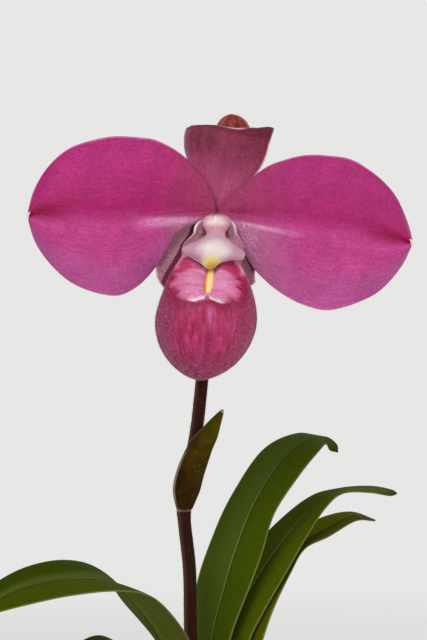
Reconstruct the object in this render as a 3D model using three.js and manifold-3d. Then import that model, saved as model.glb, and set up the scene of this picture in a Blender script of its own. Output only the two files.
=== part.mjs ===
// A slipper orchid (Phragmipedium hybrid) in bloom, growing in a plain clay pot of bark.
// Millimetres, +Z up. The origin is the centre of the pot's foot, and the flower faces -Y.
// Every organ is a closed solid: blades are sheets of even thickness on a formula surface,
// stalks are swept tubes, and the lip is a hollow slipper with its margins folded in.
import * as THREE from "three";
import { mergeVertices } from "three/addons/utils/BufferGeometryUtils.js";
import Module from "manifold-3d";

const wasm = await Module();
wasm.setup();
const { clamp, degToRad, lerp, smoothstep } = THREE.MathUtils;

// ---- driving dimensions ----
const POT_HEIGHT = 88;
const POT_RIM_RADIUS = 48;
const POT_FOOT_RADIUS = 32;
const POT_WALL = 4.5;
const POT_FLOOR = 6;
const RIM_BAND_HEIGHT = 17;
const RIM_BAND_STEP = 2.6;
const DRAIN_RADIUS = 4;
const DRAIN_RING = 17; // how far the three drain holes stand from the centre
const POT_SIDES = 32;
const MEDIUM_LEVEL = 79; // top of the packed bark, under the loose chips
const CLEARANCE = 0.35; // gap between pieces that touch

const LEAF_THICKNESS = 0.75;
const PETAL_THICKNESS = 0.7;
const LEAF_ARCH = 0.5;
const LEAF_FOOT = 77; // where the leaf bases stand on the rootstock
const FAN_ANGLE = degToRad(45); // the fan of leaves runs back-right to front-left

const FLOWER = new THREE.Vector3(2.6, 0, 247.3); // where petals, column and lip meet

// Each petal's reach above and below its midrib, from base to tip, as multiples of a half oval.
const PETAL_LEFT = {
  base: [2.3, 1.2, 247.6],
  tip: [-49.6, 1.2, 246.6],
  up: [14.4, 17.7, 20.5, 20.9, 20.9, 20.9, 20.9, 21.2, 21.3, 20.8, 18.8],
  down: [2.2, 3.2, 5.1, 12.7, 19.9, 22.4, 22.8, 22.5, 21.7, 20.5, 18.8],
};
const PETAL_RIGHT = {
  base: [3.5, 1.2, 247.8],
  tip: [56.8, 1.2, 239],
  up: [12.2, 15.5, 18, 19, 19.4, 19.8, 20.1, 19.8, 19.1, 17.3, 11.6],
  down: [2.8, 6.6, 13.9, 19.3, 20.6, 21.6, 22.2, 22, 21.6, 20.8, 17.2],
};

const LIP_BOTTOM = 200.7; // height of the slipper's toe
const LIP_WALL = 0.8;
const LIP_BELLY_HEIGHT = 17; // above the toe, where the slipper is widest
const LIP_BELLY = 13.9; // half its width there
const LIP_DEPTH_SHARE = 0.88; // depth over width
const LIP_CENTRE_Y = -10.2;
const MOUTH_FRONT = [-21.5, 21.6]; // y, and height above the toe, of the mouth's front rim
const MOUTH_SLOPE = 0.7;
const SLIT_HALF_WIDTH = 1.25;

const STEM_RADIUS = 1.9;

// ---- curves and small helpers ----
const vec = ([x, y, z]) => new THREE.Vector3(x, y, z);
const curveThrough = (points) => new THREE.CatmullRomCurve3(points.map(vec), false, "catmullrom", 0.5);

// A number that runs smoothly through evenly spaced values as t goes from 0 to 1.
function profile(values) {
  const curve = curveThrough(values.map((value) => [value, 0, 0]));
  return (t) => curve.getPoint(clamp(t, 0, 1)).x;
}

// The same numbers each run, from 0 to 1.
function seededRandom(seed) {
  let state = seed >>> 0;
  return () => {
    state = (Math.imul(state, 1664525) + 1013904223) >>> 0;
    return state / 4294967296;
  };
}

// ---- closed meshes ----
// Vertices and triangles as a BufferGeometry whose faces point out.
function closedGeometry(vertices, triangles) {
  const volume = triangles.reduce((sum, [a, b, c]) => {
    const [p, q, r] = [vertices[a], vertices[b], vertices[c]];
    return sum + p.dot(new THREE.Vector3().crossVectors(q, r));
  }, 0);
  const faces = volume < 0 ? triangles.map(([a, b, c]) => [a, c, b]) : triangles;
  const geometry = new THREE.BufferGeometry().setFromPoints(vertices);
  geometry.setIndex(faces.flat());
  return geometry;
}

// Two triangles for each cell of a grid of rows x columns vertex numbers, split the same way each time.
function gridTriangles(rows, columns, index) {
  const triangles = [];
  for (let i = 0; i < rows; i++)
    for (let j = 0; j < columns; j++) {
      const [a, b, c, d] = [index(i, j), index(i + 1, j), index(i + 1, j + 1), index(i, j + 1)];
      triangles.push([a, b, c], [a, c, d]);
    }
  return triangles;
}

// A sheet of even thickness on surface(u, v), with u from 0 to 1 and v from -1 to 1.
function sheetSolid({ surface, thickness, rows, columns, roundEnds = false }) {
  const step = 1e-3;
  const vertices = [];
  for (const side of [0.5, -0.5])
    for (let i = 0; i <= rows; i++)
      for (let j = 0; j <= columns; j++) {
        const u = roundEnds ? (1 - Math.cos((Math.PI * i) / rows)) / 2 : i / rows;
        const v = (2 * j) / columns - 1;
        const along = surface(Math.min(u + step, 1), v).sub(surface(Math.max(u - step, 0), v));
        const across = surface(u, Math.min(v + step, 1)).sub(surface(u, Math.max(v - step, -1)));
        const normal = across.cross(along).normalize();
        vertices.push(surface(u, v).addScaledVector(normal, side * thickness));
      }
  const width = columns + 1;
  const under = (rows + 1) * width;
  const top = (i, j) => i * width + j;
  const triangles = gridTriangles(rows, columns, top);
  for (const [a, b, c] of gridTriangles(rows, columns, top)) triangles.push([a + under, c + under, b + under]);
  const rim = [];
  for (let j = 0; j < columns; j++) rim.push(top(0, j));
  for (let i = 0; i < rows; i++) rim.push(top(i, columns));
  for (let j = columns; j > 0; j--) rim.push(top(rows, j));
  for (let i = rows; i > 0; i--) rim.push(top(i, 0));
  rim.forEach((a, k) => {
    const b = rim[(k + 1) % rim.length];
    triangles.push([a, b, b + under], [a, b + under, a + under]);
  });
  return closedGeometry(vertices, triangles);
}

// Rings of equal size between two end points, closed by a fan at each end.
function ringSolid(start, rings, end) {
  const sides = rings[0].length;
  const vertices = [start, ...rings.flat(), end];
  const index = (i, j) => 1 + i * sides + (j % sides);
  const triangles = gridTriangles(rings.length - 1, sides, index);
  for (let j = 0; j < sides; j++) {
    triangles.push([0, index(0, j), index(0, j + 1)]);
    triangles.push([vertices.length - 1, index(rings.length - 1, j + 1), index(rings.length - 1, j)]);
  }
  return closedGeometry(vertices, triangles);
}

// A stalk along points, with radius(t, angle).
function stalkSolid({ points, radius, rings, sides }) {
  const curve = curveThrough(points);
  const side = new THREE.Vector3(1, 0, 0);
  const made = [];
  for (let i = 0; i <= rings; i++) {
    const t = i / rings;
    const tangent = curve.getTangent(t);
    side.addScaledVector(tangent, -side.dot(tangent)).normalize();
    const other = new THREE.Vector3().crossVectors(tangent, side);
    const ring = [];
    for (let j = 0; j < sides; j++) {
      const angle = (2 * Math.PI * j) / sides;
      const r = radius(t, angle);
      ring.push(
        curve
          .getPoint(t)
          .addScaledVector(side, r * Math.cos(angle))
          .addScaledVector(other, r * Math.sin(angle)),
      );
    }
    made.push(ring);
  }
  return ringSolid(curve.getPoint(0), made, curve.getPoint(1));
}

// The surface of a blade. Its midrib runs along points, and its width lies along widths. Each half
// leaves the midrib at the angle fold(u) above the width line and curls by curl(u) on its way out.
function bladeSurface({ points, widths, halfWidth, fold, curl, relief = () => 0 }) {
  const midrib = curveThrough(points);
  const across = curveThrough(widths);
  const half = profile(halfWidth);
  return (u, v) => {
    const tangent = midrib.getTangent(u);
    const width = across.getPoint(u);
    width.addScaledVector(tangent, -width.dot(tangent)).normalize();
    const normal = new THREE.Vector3().crossVectors(width, tangent);
    const reach = half(u);
    const [start, turn, s] = [fold(u), curl(u) || 1e-6, Math.abs(v)];
    const out = (reach * (Math.sin(start + turn * s) - Math.sin(start))) / turn;
    const rise = (reach * (Math.cos(start) - Math.cos(start + turn * s))) / turn + relief(u, v);
    return midrib
      .getPoint(u)
      .addScaledVector(width, Math.sign(v) * out)
      .addScaledVector(normal, rise);
  };
}

// ---- manifold joins and cuts ----
function toManifold(geometry) {
  const bare = geometry.clone();
  bare.deleteAttribute("normal");
  bare.deleteAttribute("uv");
  const merged = mergeVertices(bare, 1e-4);
  return new wasm.Manifold(
    new wasm.Mesh({
      numProp: 3,
      vertProperties: new Float32Array(merged.attributes.position.array),
      triVerts: new Uint32Array(merged.index.array),
    }),
  );
}

// The largest connected skin of a solid, which leaves out sealed voids and loose crumbs.
function fromManifold(solid) {
  const mesh = solid
    .decompose()
    .reduce((largest, body) => (body.volume() > largest.volume() ? body : largest))
    .getMesh();
  const geometry = new THREE.BufferGeometry();
  geometry.setAttribute("position", new THREE.BufferAttribute(new Float32Array(mesh.vertProperties), 3));
  geometry.setIndex(new THREE.BufferAttribute(new Uint32Array(mesh.triVerts), 1));
  return geometry;
}

// ---- pot and bark ----
const potInnerRadius = (z) => lerp(POT_FOOT_RADIUS, POT_RIM_RADIUS - RIM_BAND_STEP, z / POT_HEIGHT) - POT_WALL;

// A solid of revolution about +Z, from an outline of radii and heights.
function turned(outline) {
  const points = outline.map(([radius, height]) => new THREE.Vector2(radius, height));
  return new THREE.LatheGeometry(points, POT_SIDES).rotateX(Math.PI / 2);
}

function potGeometry() {
  const bandFoot = POT_HEIGHT - RIM_BAND_HEIGHT;
  const wall = (z) => potInnerRadius(z) + POT_WALL;
  const outline = [
    [0, 0],
    [POT_FOOT_RADIUS - 1.2, 0],
    [POT_FOOT_RADIUS, 1.2],
    [wall(bandFoot - 1), bandFoot - 1],
    [POT_RIM_RADIUS - 1.2, bandFoot],
    [POT_RIM_RADIUS - 0.4, bandFoot + 1.4],
    [POT_RIM_RADIUS, POT_HEIGHT - 1.8],
    [POT_RIM_RADIUS - 1.2, POT_HEIGHT - 0.4],
    [POT_RIM_RADIUS - 3, POT_HEIGHT],
    [potInnerRadius(POT_HEIGHT) + 1.4, POT_HEIGHT - 0.3],
    [potInnerRadius(POT_HEIGHT) + 0.2, POT_HEIGHT - 1.6],
    [potInnerRadius(POT_FLOOR + 2), POT_FLOOR + 2],
    [potInnerRadius(POT_FLOOR) - 2, POT_FLOOR],
    [0, POT_FLOOR],
  ];
  const drains = [0, 1, 2].map((k) => {
    const turn = (2 * Math.PI * k) / 3;
    const drain = new THREE.CylinderGeometry(DRAIN_RADIUS, DRAIN_RADIUS, 3 * POT_FLOOR, 12).rotateX(Math.PI / 2);
    return toManifold(drain.translate(DRAIN_RING * Math.cos(turn), DRAIN_RING * Math.sin(turn), POT_FLOOR / 2));
  });
  return fromManifold(toManifold(turned(outline)).subtract(wasm.Manifold.union(drains)));
}

// One chip of bark: a box with its corners cut at random.
function chipGeometry(random) {
  const [length, breadth, height] = [10 + 6 * random(), 7 + 4 * random(), 4 + 2.5 * random()];
  const chip = new THREE.BoxGeometry(length, breadth, height);
  const position = chip.attributes.position;
  const corners = new Map();
  for (let i = 0; i < position.count; i++) {
    const key = [position.getX(i) > 0, position.getY(i) > 0, position.getZ(i) > 0].join();
    if (!corners.has(key)) corners.set(key, [0.62 + 0.38 * random(), 0.62 + 0.38 * random(), 0.7 + 0.3 * random()]);
    const [sx, sy, sz] = corners.get(key);
    position.setXYZ(i, position.getX(i) * sx, position.getY(i) * sy, position.getZ(i) * sz);
  }
  return chip;
}

// The packed bark fills the pot, and loose chips cover it in a sunflower spiral.
function barkGeometry(holes) {
  const top = potInnerRadius(MEDIUM_LEVEL) - CLEARANCE;
  const foot = potInnerRadius(POT_FLOOR + 2.5) - CLEARANCE;
  const outline = [
    [0, POT_FLOOR + CLEARANCE],
    [foot - 3, POT_FLOOR + CLEARANCE],
    [foot, POT_FLOOR + 2.5 + CLEARANCE],
    [top, MEDIUM_LEVEL],
    [0, MEDIUM_LEVEL],
  ];
  const random = seededRandom(11);
  const chips = [];
  const count = 44;
  for (let k = 0; k < count; k++) {
    const reach = (top - 4.5) * Math.sqrt((k + 0.5) / count);
    const turn = k * 2.39996;
    const chip = chipGeometry(random);
    chip.rotateX(0.5 * (random() - 0.5)).rotateY(0.5 * (random() - 0.5)).rotateZ(Math.PI * random());
    chip.translate(reach * Math.cos(turn), reach * Math.sin(turn), MEDIUM_LEVEL + 0.6 + 1.6 * random());
    chips.push(toManifold(chip));
  }
  const collar = new THREE.CylinderGeometry(top, top, 30, POT_SIDES).rotateX(Math.PI / 2).translate(0, 0, MEDIUM_LEVEL);
  const loose = wasm.Manifold.union(chips).intersect(toManifold(collar));
  return fromManifold(toManifold(turned(outline)).add(loose).subtract(holes));
}

// ---- rootstock and roots ----
const FAN_HALF_LENGTH = 12;
const FAN_HALF_BREADTH = 6.4;
const ROOTSTOCK_TOP = LEAF_FOOT - 0.6;

function rootstockGeometry(grow = 0) {
  const block = new THREE.CylinderGeometry(1, 0.8, 7, 20).rotateX(Math.PI / 2);
  block.scale(FAN_HALF_LENGTH + grow, FAN_HALF_BREADTH + grow, 1 + (2 * grow) / 7);
  block.rotateZ(FAN_ANGLE).translate(0, 0, ROOTSTOCK_TOP - 3.5);
  return block;
}

// Roots leave the rootstock, cross the bark and dive into it: direction in degrees and length.
const ROOTS = [
  { direction: -72, length: 27 },
  { direction: -18, length: 24 },
  { direction: 118, length: 25 },
  { direction: 170, length: 29 },
];

function rootSolid({ direction, length }, grow = 0) {
  const turn = degToRad(direction);
  const crown = [Math.cos(turn), Math.sin(turn)];
  const heights = [-5.4, -5, 1.6, 5, 3.4, -3];
  const points = heights.map((height, k) => {
    const reach = 2.5 + (length * k) / (heights.length - 1);
    const sway = 1.6 * Math.sin(1.3 * k);
    return [reach * crown[0] - sway * crown[1], reach * crown[1] + sway * crown[0], MEDIUM_LEVEL + height];
  });
  const root = stalkSolid({ points, radius: (t) => 1.25 - 0.4 * t + grow, rings: 9, sides: 6 });
  const tip = new THREE.SphereGeometry(0.85 + grow, 6, 4).translate(...points.at(-1));
  return toManifold(root).add(toManifold(tip));
}

function crownSolid(grow = 0) {
  const roots = ROOTS.map((root) => rootSolid(root, grow));
  return toManifold(rootstockGeometry(grow)).add(wasm.Manifold.union(roots));
}

// The hole that the fan of leaves and the stem stand in.
function fanHole() {
  const hole = new THREE.CylinderGeometry(1, 1, 20, 28).rotateX(Math.PI / 2);
  hole.scale(FAN_HALF_LENGTH + CLEARANCE, FAN_HALF_BREADTH + CLEARANCE, 1);
  return toManifold(hole.rotateZ(FAN_ANGLE).translate(0, 0, ROOTSTOCK_TOP + 9.8));
}

// ---- leaves ----
// Cross-sections of each leaf from its foot to its tip: the keel, then the two margins, ordered
// so that the leaf's upper face lies to the same side in all of them.
const LEAVES = {
  leaf_right_tall: [
    [[3.8, 3.8, 77], [-0.8, 2.8, 77], [2.8, -0.8, 77]],
    [[3.4, 5.1, 90], [-2, 4.8, 90], [3.1, -0.3, 90]],
    [[2.7, 7.2, 103], [-3.5, 8.3, 103], [3.8, 1, 103]],
    [[2.1, 9.5, 116], [-4.3, 12.5, 116], [5, 3.2, 116]],
    [[1.4, 12, 127.6], [-3.4, 16.5, 127.9], [6.4, 6.7, 128.2]],
    [[4.9, 16, 142.1], [-3, 18, 141.9], [11.6, 11.5, 141.7]],
    [[8.5, 20.5, 153.6], [1.7, 23, 156], [15.4, 17, 151.2]],
    [[13.4, 26, 165], [7.3, 28.3, 167.6], [19.2, 23, 162.5]],
    [[20.5, 33.5, 175.9], [16.2, 36.5, 179.9], [26.7, 30, 173.2]],
    [[28.2, 40.5, 181.5], [26.3, 45, 184.3], [32.4, 36, 179.6]],
    [[34.9, 46, 182.9], [34.3, 50.5, 182.3], [35.3, 42.3, 181.5]],
    [[38.3, 49.5, 179.1], [38.3, 49.8, 178.8], [38.3, 49.2, 179]],
  ],
  leaf_right_middle: [
    [[5.1, 5.1, 77], [0.3, 4.7, 77], [4.7, 0.3, 77]],
    [[5.2, 6.6, 90], [-0.5, 6.9, 90], [5.5, 1, 90]],
    [[4.9, 8.8, 103], [-1.3, 10.3, 103], [6.3, 2.6, 103]],
    [[5, 11.5, 116], [-1.3, 14.7, 116], [8.2, 5.2, 116]],
    [[5, 14, 127.3], [-0.6, 18.5, 127.9], [11.9, 9.8, 127.8]],
    [[10.7, 17.5, 138.3], [5.9, 22.5, 140.6], [16, 13, 135.6]],
    [[16.8, 25, 147.5], [12.3, 30, 150.8], [21.6, 20.1, 144.3]],
    [[25.5, 36, 157.8], [22.3, 42.5, 160], [28.7, 29.8, 155.3]],
    [[33, 43.5, 164.2], [31.4, 50.5, 165.9], [34.4, 36.2, 163.1]],
    [[39.4, 48.5, 167.2], [39.4, 55, 167.4], [39.7, 42, 166.9]],
    [[48.2, 52.5, 167.6], [48.6, 57.7, 167.9], [47.7, 47.3, 167.1]],
    [[56.2, 55, 166.2], [56.2, 55.4, 166.2], [56.2, 54.6, 166.2]],
  ],
  leaf_right_low: [
    [[6.4, 6.4, 77], [1.5, 6.7, 77], [6.7, 1.5, 77]],
    [[7, 8.1, 90], [1.3, 9.1, 90], [7.9, 2.4, 90]],
    [[7.7, 10.1, 103], [1.6, 11.7, 103], [9.3, 4, 103]],
    [[8.3, 12.6, 116], [2.3, 16, 116], [11.7, 6.5, 116]],
    [[9.3, 15, 127.2], [4.2, 19.5, 127.8], [15.6, 10.5, 127.8]],
    [[13.3, 20, 136.3], [9.4, 25, 138.6], [18.9, 14.7, 136.4]],
    [[19.5, 30, 145.6], [15.9, 35.8, 148], [24, 24.2, 145.6]],
    [[26.7, 38, 151.9], [23.7, 44.3, 153.7], [28.2, 30.8, 151.7]],
    [[34.8, 44, 156.1], [33, 49.8, 158.9], [35.4, 37.2, 154.7]],
    [[42.7, 49, 159.7], [42.3, 53.2, 160.7], [43.5, 44.8, 158.6]],
    [[49.6, 52, 158.3], [49.6, 52.3, 158.4], [49.6, 51.7, 158.1]],
  ],
  leaf_left_high: [
    [[-3.8, -3.8, 77], [0.8, -2.8, 77], [-2.8, 0.8, 77]],
    [[-4.2, -4.2, 92], [1.3, -3.3, 92], [-3.3, 1.3, 92]],
    [[-7.1, -7.8, 110], [-0.4, -8.2, 110], [-7.5, -1.1, 110]],
    [[-9.6, -10.8, 120.5], [-2.5, -11.8, 120.5], [-10.8, -3.5, 120.5]],
    [[-12.5, -14, 130.7], [-4.8, -15.5, 130.8], [-14.1, -6.3, 129.7]],
    [[-20, -25, 142.9], [-13.3, -28, 142.9], [-22.7, -17.5, 141.6]],
    [[-26.9, -33, 148.6], [-22.5, -38, 146.3], [-28.8, -26.5, 150.9]],
    [[-36.7, -40, 149.5], [-35.2, -46.3, 146], [-37.9, -35, 154.2]],
    [[-48, -46.5, 147.6], [-47.5, -52.3, 143.9], [-48.7, -41.7, 152.4]],
    [[-56.7, -51, 143.3], [-56.6, -54.5, 141.5], [-57.2, -47.7, 147.1]],
    [[-60.2, -52.5, 139.3], [-60.2, -52.8, 139.1], [-60.2, -52.2, 139.5]],
  ],
  leaf_left_low: [
    [[-5.1, -5.1, 77], [-0.3, -4.7, 77], [-4.7, -0.3, 77]],
    [[-6.1, -6.1, 92], [-0.5, -5.6, 92], [-5.6, -0.5, 92]],
    [[-9, -10.8, 107], [-2.4, -11.4, 107], [-9.6, -4.3, 107]],
    [[-13, -16, 118], [-6, -17.8, 118], [-14.3, -9, 118]],
    [[-19.5, -22.5, 127], [-14, -27.2, 126], [-21.5, -16, 127.5]],
    [[-28, -30, 130], [-26, -35.5, 126], [-28.8, -24.3, 133]],
    [[-36, -36, 126.5], [-35, -41.5, 122.5], [-36.5, -30.5, 130]],
    [[-43, -41, 119.5], [-42, -45.5, 116], [-44.5, -36.5, 123]],
    [[-47.5, -45, 110], [-46, -47.5, 108.5], [-49.5, -42.5, 112]],
    [[-49.5, -47.5, 101], [-49.3, -47.8, 101], [-49.8, -47.2, 101]],
  ],
  leaf_left_sheath: [
    [[-6.4, -6.4, 77], [-1.5, -6.7, 77], [-6.7, -1.5, 77]],
    [[-7.8, -8.2, 90], [-3.2, -9.3, 90], [-8.4, -3.6, 90]],
    [[-11.5, -13, 102], [-8.5, -14.6, 102], [-12.5, -9.8, 102]],
    [[-14.5, -17, 111], [-14.3, -17.3, 111], [-14.8, -16.7, 111]],
  ],
};

// A leaf spans its keel and its margins, and each half is arched a little.
function leafGeometry(sections) {
  const curves = [0, 1, 2].map((k) => curveThrough(sections.map((section) => section[k])));
  const [keel, before, after] = curves;
  const surface = (u, v) => {
    const middle = keel.getPoint(u);
    const width = after.getPoint(u).sub(before.getPoint(u)).normalize();
    const upper = width.cross(keel.getTangent(u));
    const share = Math.abs(v);
    const arch = LEAF_ARCH * 4 * share * (1 - share) * (1 - u ** 6);
    return middle.lerp((v < 0 ? before : after).getPoint(u), share).addScaledVector(upper, arch);
  };
  return sheetSolid({ surface, thickness: LEAF_THICKNESS, rows: 2 * sections.length, columns: 4 });
}

// ---- stem, bracts, ovary and bud ----
const STEM_NODE = 0.548; // share of the stem below the bract

function stemGeometry() {
  const points = [
    [0, 0, LEAF_FOOT],
    [-0.3, 0.4, 91],
    [-1.9, 2, 106],
    [-3.6, 3.2, 120],
    [-4.5, 4.3, 131],
    [-4.9, 7, 147.9],
    [-6.5, 9, 164.4],
    [-5, 10.2, 175.4],
    [-3, 11.3, 186.6],
    [-1.9, 12.4, 196],
    [-0.6, 13.9, 208.5],
    [1.1, 15.5, 221],
  ];
  const swelling = (t) => 0.35 * Math.exp(-(((t - STEM_NODE) / 0.012) ** 2));
  const head = (t) => 0.9 * smoothstep(t, 0.95, 1);
  const radius = (t) => STEM_RADIUS - 0.15 * t + swelling(t) + head(t);
  return stalkSolid({ points, radius, rings: 33, sides: 10 });
}

const FACING_BACK = [-1, 0, 0]; // width of a blade that rises with its inner face to +Y
const FACING_FRONT = [1, 0, 0]; // width of a blade that rises with its inner face to -Y

// A bract curls round its axis: bend is the angle in degrees that each half turns through.
function bractGeometry({ points, width, halfWidth, bend }) {
  const turn = profile(bend);
  const surface = bladeSurface({
    points,
    widths: points.map(() => width),
    halfWidth,
    fold: () => 0,
    curl: (u) => degToRad(turn(u)),
  });
  return sheetSolid({ surface, thickness: PETAL_THICKNESS, rows: 12, columns: 6 });
}

const BRACTS = {
  stem_bract: {
    points: [
      [-6.4, 6, 165],
      [-5.8, 5.3, 170.2],
      [-4.5, 5.3, 175.8],
      [-2.4, 5.6, 181.4],
      [0.3, 5.2, 185.6],
      [2.1, 4.8, 188.7],
      [4.3, 4.2, 192.4],
    ],
    width: FACING_BACK,
    halfWidth: [2.5, 4.9, 4.9, 3.7, 2.4, 1.6, 0.4],
    bend: [48, 72, 74, 66, 52, 42, 30],
  },
  flower_bract: {
    points: [
      [0.4, 11.1, 213.5],
      [1.1, 10.9, 220],
      [1.7, 9.7, 227],
      [2.3, 8.3, 233.5],
    ],
    width: FACING_BACK,
    halfWidth: [3.4, 4.4, 3.6, 0.5],
    bend: [76, 66, 52, 42],
  },
  bud_bract: {
    points: [
      [0.9, 18.5, 215],
      [2.2, 21.4, 223],
      [4.7, 25, 233],
      [7, 26.6, 243],
      [8.2, 26.4, 250],
    ],
    width: FACING_FRONT,
    halfWidth: [2.4, 4.2, 4.6, 3.4, 0.5],
    bend: [76, 68, 60, 50, 42],
  },
};

function ovaryGeometry() {
  const points = [[1.2, 13.9, 221.8], [1.7, 13.9, 229], [2.3, 13, 237.5], [2.6, 9.6, 244.2], [2.6, 6.4, 246.7], [2.6, 4, 247.3]];
  const size = profile([0.95, 1.6, 2.3, 2.5, 2.4]);
  return stalkSolid({ points, radius: (t, angle) => size(t) * (1 + 0.09 * Math.cos(6 * angle) * smoothstep(t, 0.1, 0.4)), rings: 12, sides: 12 });
}

function pedicelGeometry() {
  const points = [[1.2, 17.2, 221.8], [3.2, 20.5, 230], [5.6, 22.4, 241], [6.4, 22, 249.6]];
  return stalkSolid({ points, radius: (t) => lerp(0.95, 1.5, smoothstep(t, 0, 0.6)), rings: 8, sides: 10 });
}

function budGeometry() {
  const points = [[6.5, 21.9, 250.1], [7.2, 21.2, 259], [7.2, 20.2, 268], [6.8, 18.8, 276]];
  const size = profile([1.2, 3.3, 4.7, 5, 4.5, 3.2, 0.5]);
  return stalkSolid({ points, radius: (t, angle) => size(t) * (1 + 0.05 * Math.cos(3 * angle)), rings: 11, sides: 12 });
}

// ---- sepals and petals ----
function dorsalSepalGeometry() {
  const surface = bladeSurface({
    points: [[2.7, 2.7, 248.7], [3.4, 3.5, 255.5], [4.5, 3.8, 263], [5.4, 3.6, 269.2], [5.8, 5, 271.2], [6, 8, 270.8], [6.1, 10.4, 268.4]],
    widths: [FACING_FRONT, FACING_FRONT, FACING_FRONT, FACING_FRONT, FACING_FRONT, FACING_FRONT, FACING_FRONT],
    halfWidth: [2.3, 7.4, 11.2, 12.2, 11.4, 8, 0.8],
    fold: () => degToRad(3),
    curl: (u) => -degToRad(14) * smoothstep(u, 0.1, 0.5),
  });
  return sheetSolid({ surface, thickness: PETAL_THICKNESS, rows: 14, columns: 8 });
}

function synsepalGeometry() {
  const points = [[2.4, 2.5, 246], [1.7, 3.4, 241], [0.6, 4.4, 235.5], [-0.4, 5.2, 230], [-0.6, 5.6, 225], [-0.5, 5.4, 219.5], [-0.4, 4.8, 214]];
  const surface = bladeSurface({
    points,
    widths: points.map(() => FACING_BACK),
    halfWidth: [4, 9.5, 12.9, 13.4, 10.6, 6, 0.9],
    fold: (u) => degToRad(4) * u,
    curl: (u) => degToRad(24) * smoothstep(u, 0.1, 0.5),
  });
  return sheetSolid({ surface, thickness: PETAL_THICKNESS, rows: 12, columns: 8 });
}

// A petal is nearly an oval, narrowed near its base below the midrib. It bows towards -Y along
// its length, its edges fall back, and a groove follows the midrib, deepest at the base and the tip.
function petalSurface({ base, tip, up, down }) {
  const start = vec(base);
  const along = vec(tip).sub(start);
  const length = along.length();
  along.normalize();
  const outward = new THREE.Vector3(0, -1, 0);
  const across = new THREE.Vector3().crossVectors(outward, along);
  if (across.z < 0) across.negate();
  const [above, below] = [profile(up), profile(down)];
  return (u, v) => {
    const oval = Math.sqrt(Math.max(4 * u * (1 - u), 0));
    const reach = (v > 0 ? above(u) : below(u)) * oval + 0.7;
    const bow = 2.6 * Math.sin(Math.PI * u ** 0.8);
    const fall = 4.4 * v * v * smoothstep(u, 0.06, 0.6);
    const wave = 0.7 * Math.sin(9 * u + (v > 0 ? 0.6 : 2.4)) * v * v * smoothstep(u, 0.2, 0.5);
    const depth = 0.35 + 1.1 * Math.exp(-((u / 0.35) ** 2)) + Math.exp(-(((u - 0.97) / 0.18) ** 2));
    const groove = depth * Math.exp(-((v / 0.16) ** 2)) * smoothstep(u, 0, 0.12);
    return start
      .clone()
      .addScaledVector(along, length * u)
      .addScaledVector(across, reach * v)
      .addScaledVector(outward, bow - fall + wave - groove);
  };
}

const petalGeometry = (petal) =>
  sheetSolid({ surface: petalSurface(petal), thickness: PETAL_THICKNESS, rows: 18, columns: 12, roundEnds: true });

// ---- lip ----
// Half the width of the slipper at a height above its toe.
function lipHalfWidth(height) {
  if (height < LIP_BELLY_HEIGHT) {
    const below = (LIP_BELLY_HEIGHT - height) / LIP_BELLY_HEIGHT;
    return LIP_BELLY * Math.max(1 - below * below, 0) ** 0.62;
  }
  return LIP_BELLY * (1 - 0.42 * ((height - LIP_BELLY_HEIGHT) / 16.5) ** 1.6);
}

// A point of the slipper's outer wall: angle 0 is the front, and the toe points a little forward.
function lipWall(angle, height) {
  const half = lipHalfWidth(height);
  const lean = -1.5 * Math.max(0, 1 - height / LIP_BELLY_HEIGHT);
  return new THREE.Vector3(
    -1 + 0.045 * height + half * Math.sin(angle),
    LIP_CENTRE_Y + lean - LIP_DEPTH_SHARE * half * Math.cos(angle),
    LIP_BOTTOM + height,
  );
}

// Height of the mouth's rim above the toe: a sloping plane, with two shallow scallops in front.
function rimHeight(angle) {
  const turned = Math.atan2(Math.sin(angle), Math.cos(angle));
  let height = MOUTH_FRONT[1];
  for (let k = 0; k < 30; k++)
    height = lerp(height, MOUTH_FRONT[1] + (lipWall(angle, height).y - MOUTH_FRONT[0]) * MOUTH_SLOPE, 0.6);
  const scallops = 0.8 * Math.exp(-(((Math.abs(turned) - 0.6) / 0.3) ** 2));
  return height - scallops + 0.5 * Math.exp(-((turned / 0.16) ** 2));
}

const MOUTH_NORMAL = new THREE.Vector3(0, -MOUTH_SLOPE, 1).normalize();

// The line of the slit between the folded margins, from the front (0) to the back (1).
function slitPoint(share) {
  const front = lipWall(0, rimHeight(0));
  const back = lipWall(Math.PI, rimHeight(Math.PI));
  return front.lerp(back, lerp(0.08, 0.86, share)).addScaledVector(MOUTH_NORMAL, -0.5);
}

// The folded margin, from the rim (0) to the edge of the slit (1).
function lobePoint(angle, share) {
  const rim = lipWall(angle, rimHeight(angle));
  const edge = slitPoint((1 - Math.cos(angle)) / 2);
  edge.x += SLIT_HALF_WIDTH * Math.sin(angle);
  return rim.lerp(edge, share).addScaledVector(MOUTH_NORMAL, 1.5 * Math.sin(Math.PI * share) ** 0.8);
}

function slipperGeometry() {
  const sides = 24;
  const angles = Array.from({ length: sides }, (_, j) => (2 * Math.PI * j) / sides);
  const centre = new THREE.Vector3(-0.2, LIP_CENTRE_Y, LIP_BOTTOM + LIP_BELLY_HEIGHT);
  const inward = (point) => point.sub(centre).multiplyScalar(1 - LIP_WALL / 12.5).add(centre);
  const wallRing = (share) => angles.map((angle) => lipWall(angle, rimHeight(angle) * (1 - Math.cos((share * Math.PI) / 2))));
  const lobeRing = (share, sink) => angles.map((angle) => lobePoint(angle, share).addScaledVector(MOUTH_NORMAL, -sink));
  const wallShares = [0.12, 0.25, 0.38, 0.5, 0.62, 0.75, 0.88];
  const rings = [
    ...wallShares.map(wallRing),
    wallRing(1),
    ...[0.12, 0.3, 0.5, 0.7, 0.88, 1].map((share) => lobeRing(share, 0)),
    ...[1, 0.75, 0.5, 0.22].map((share) => lobeRing(share, LIP_WALL)),
    ...[...wallShares].reverse().map((share) => wallRing(share).map(inward)),
  ];
  const toe = lipWall(0, 0);
  return ringSolid(toe, rings, inward(toe.clone()));
}

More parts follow.
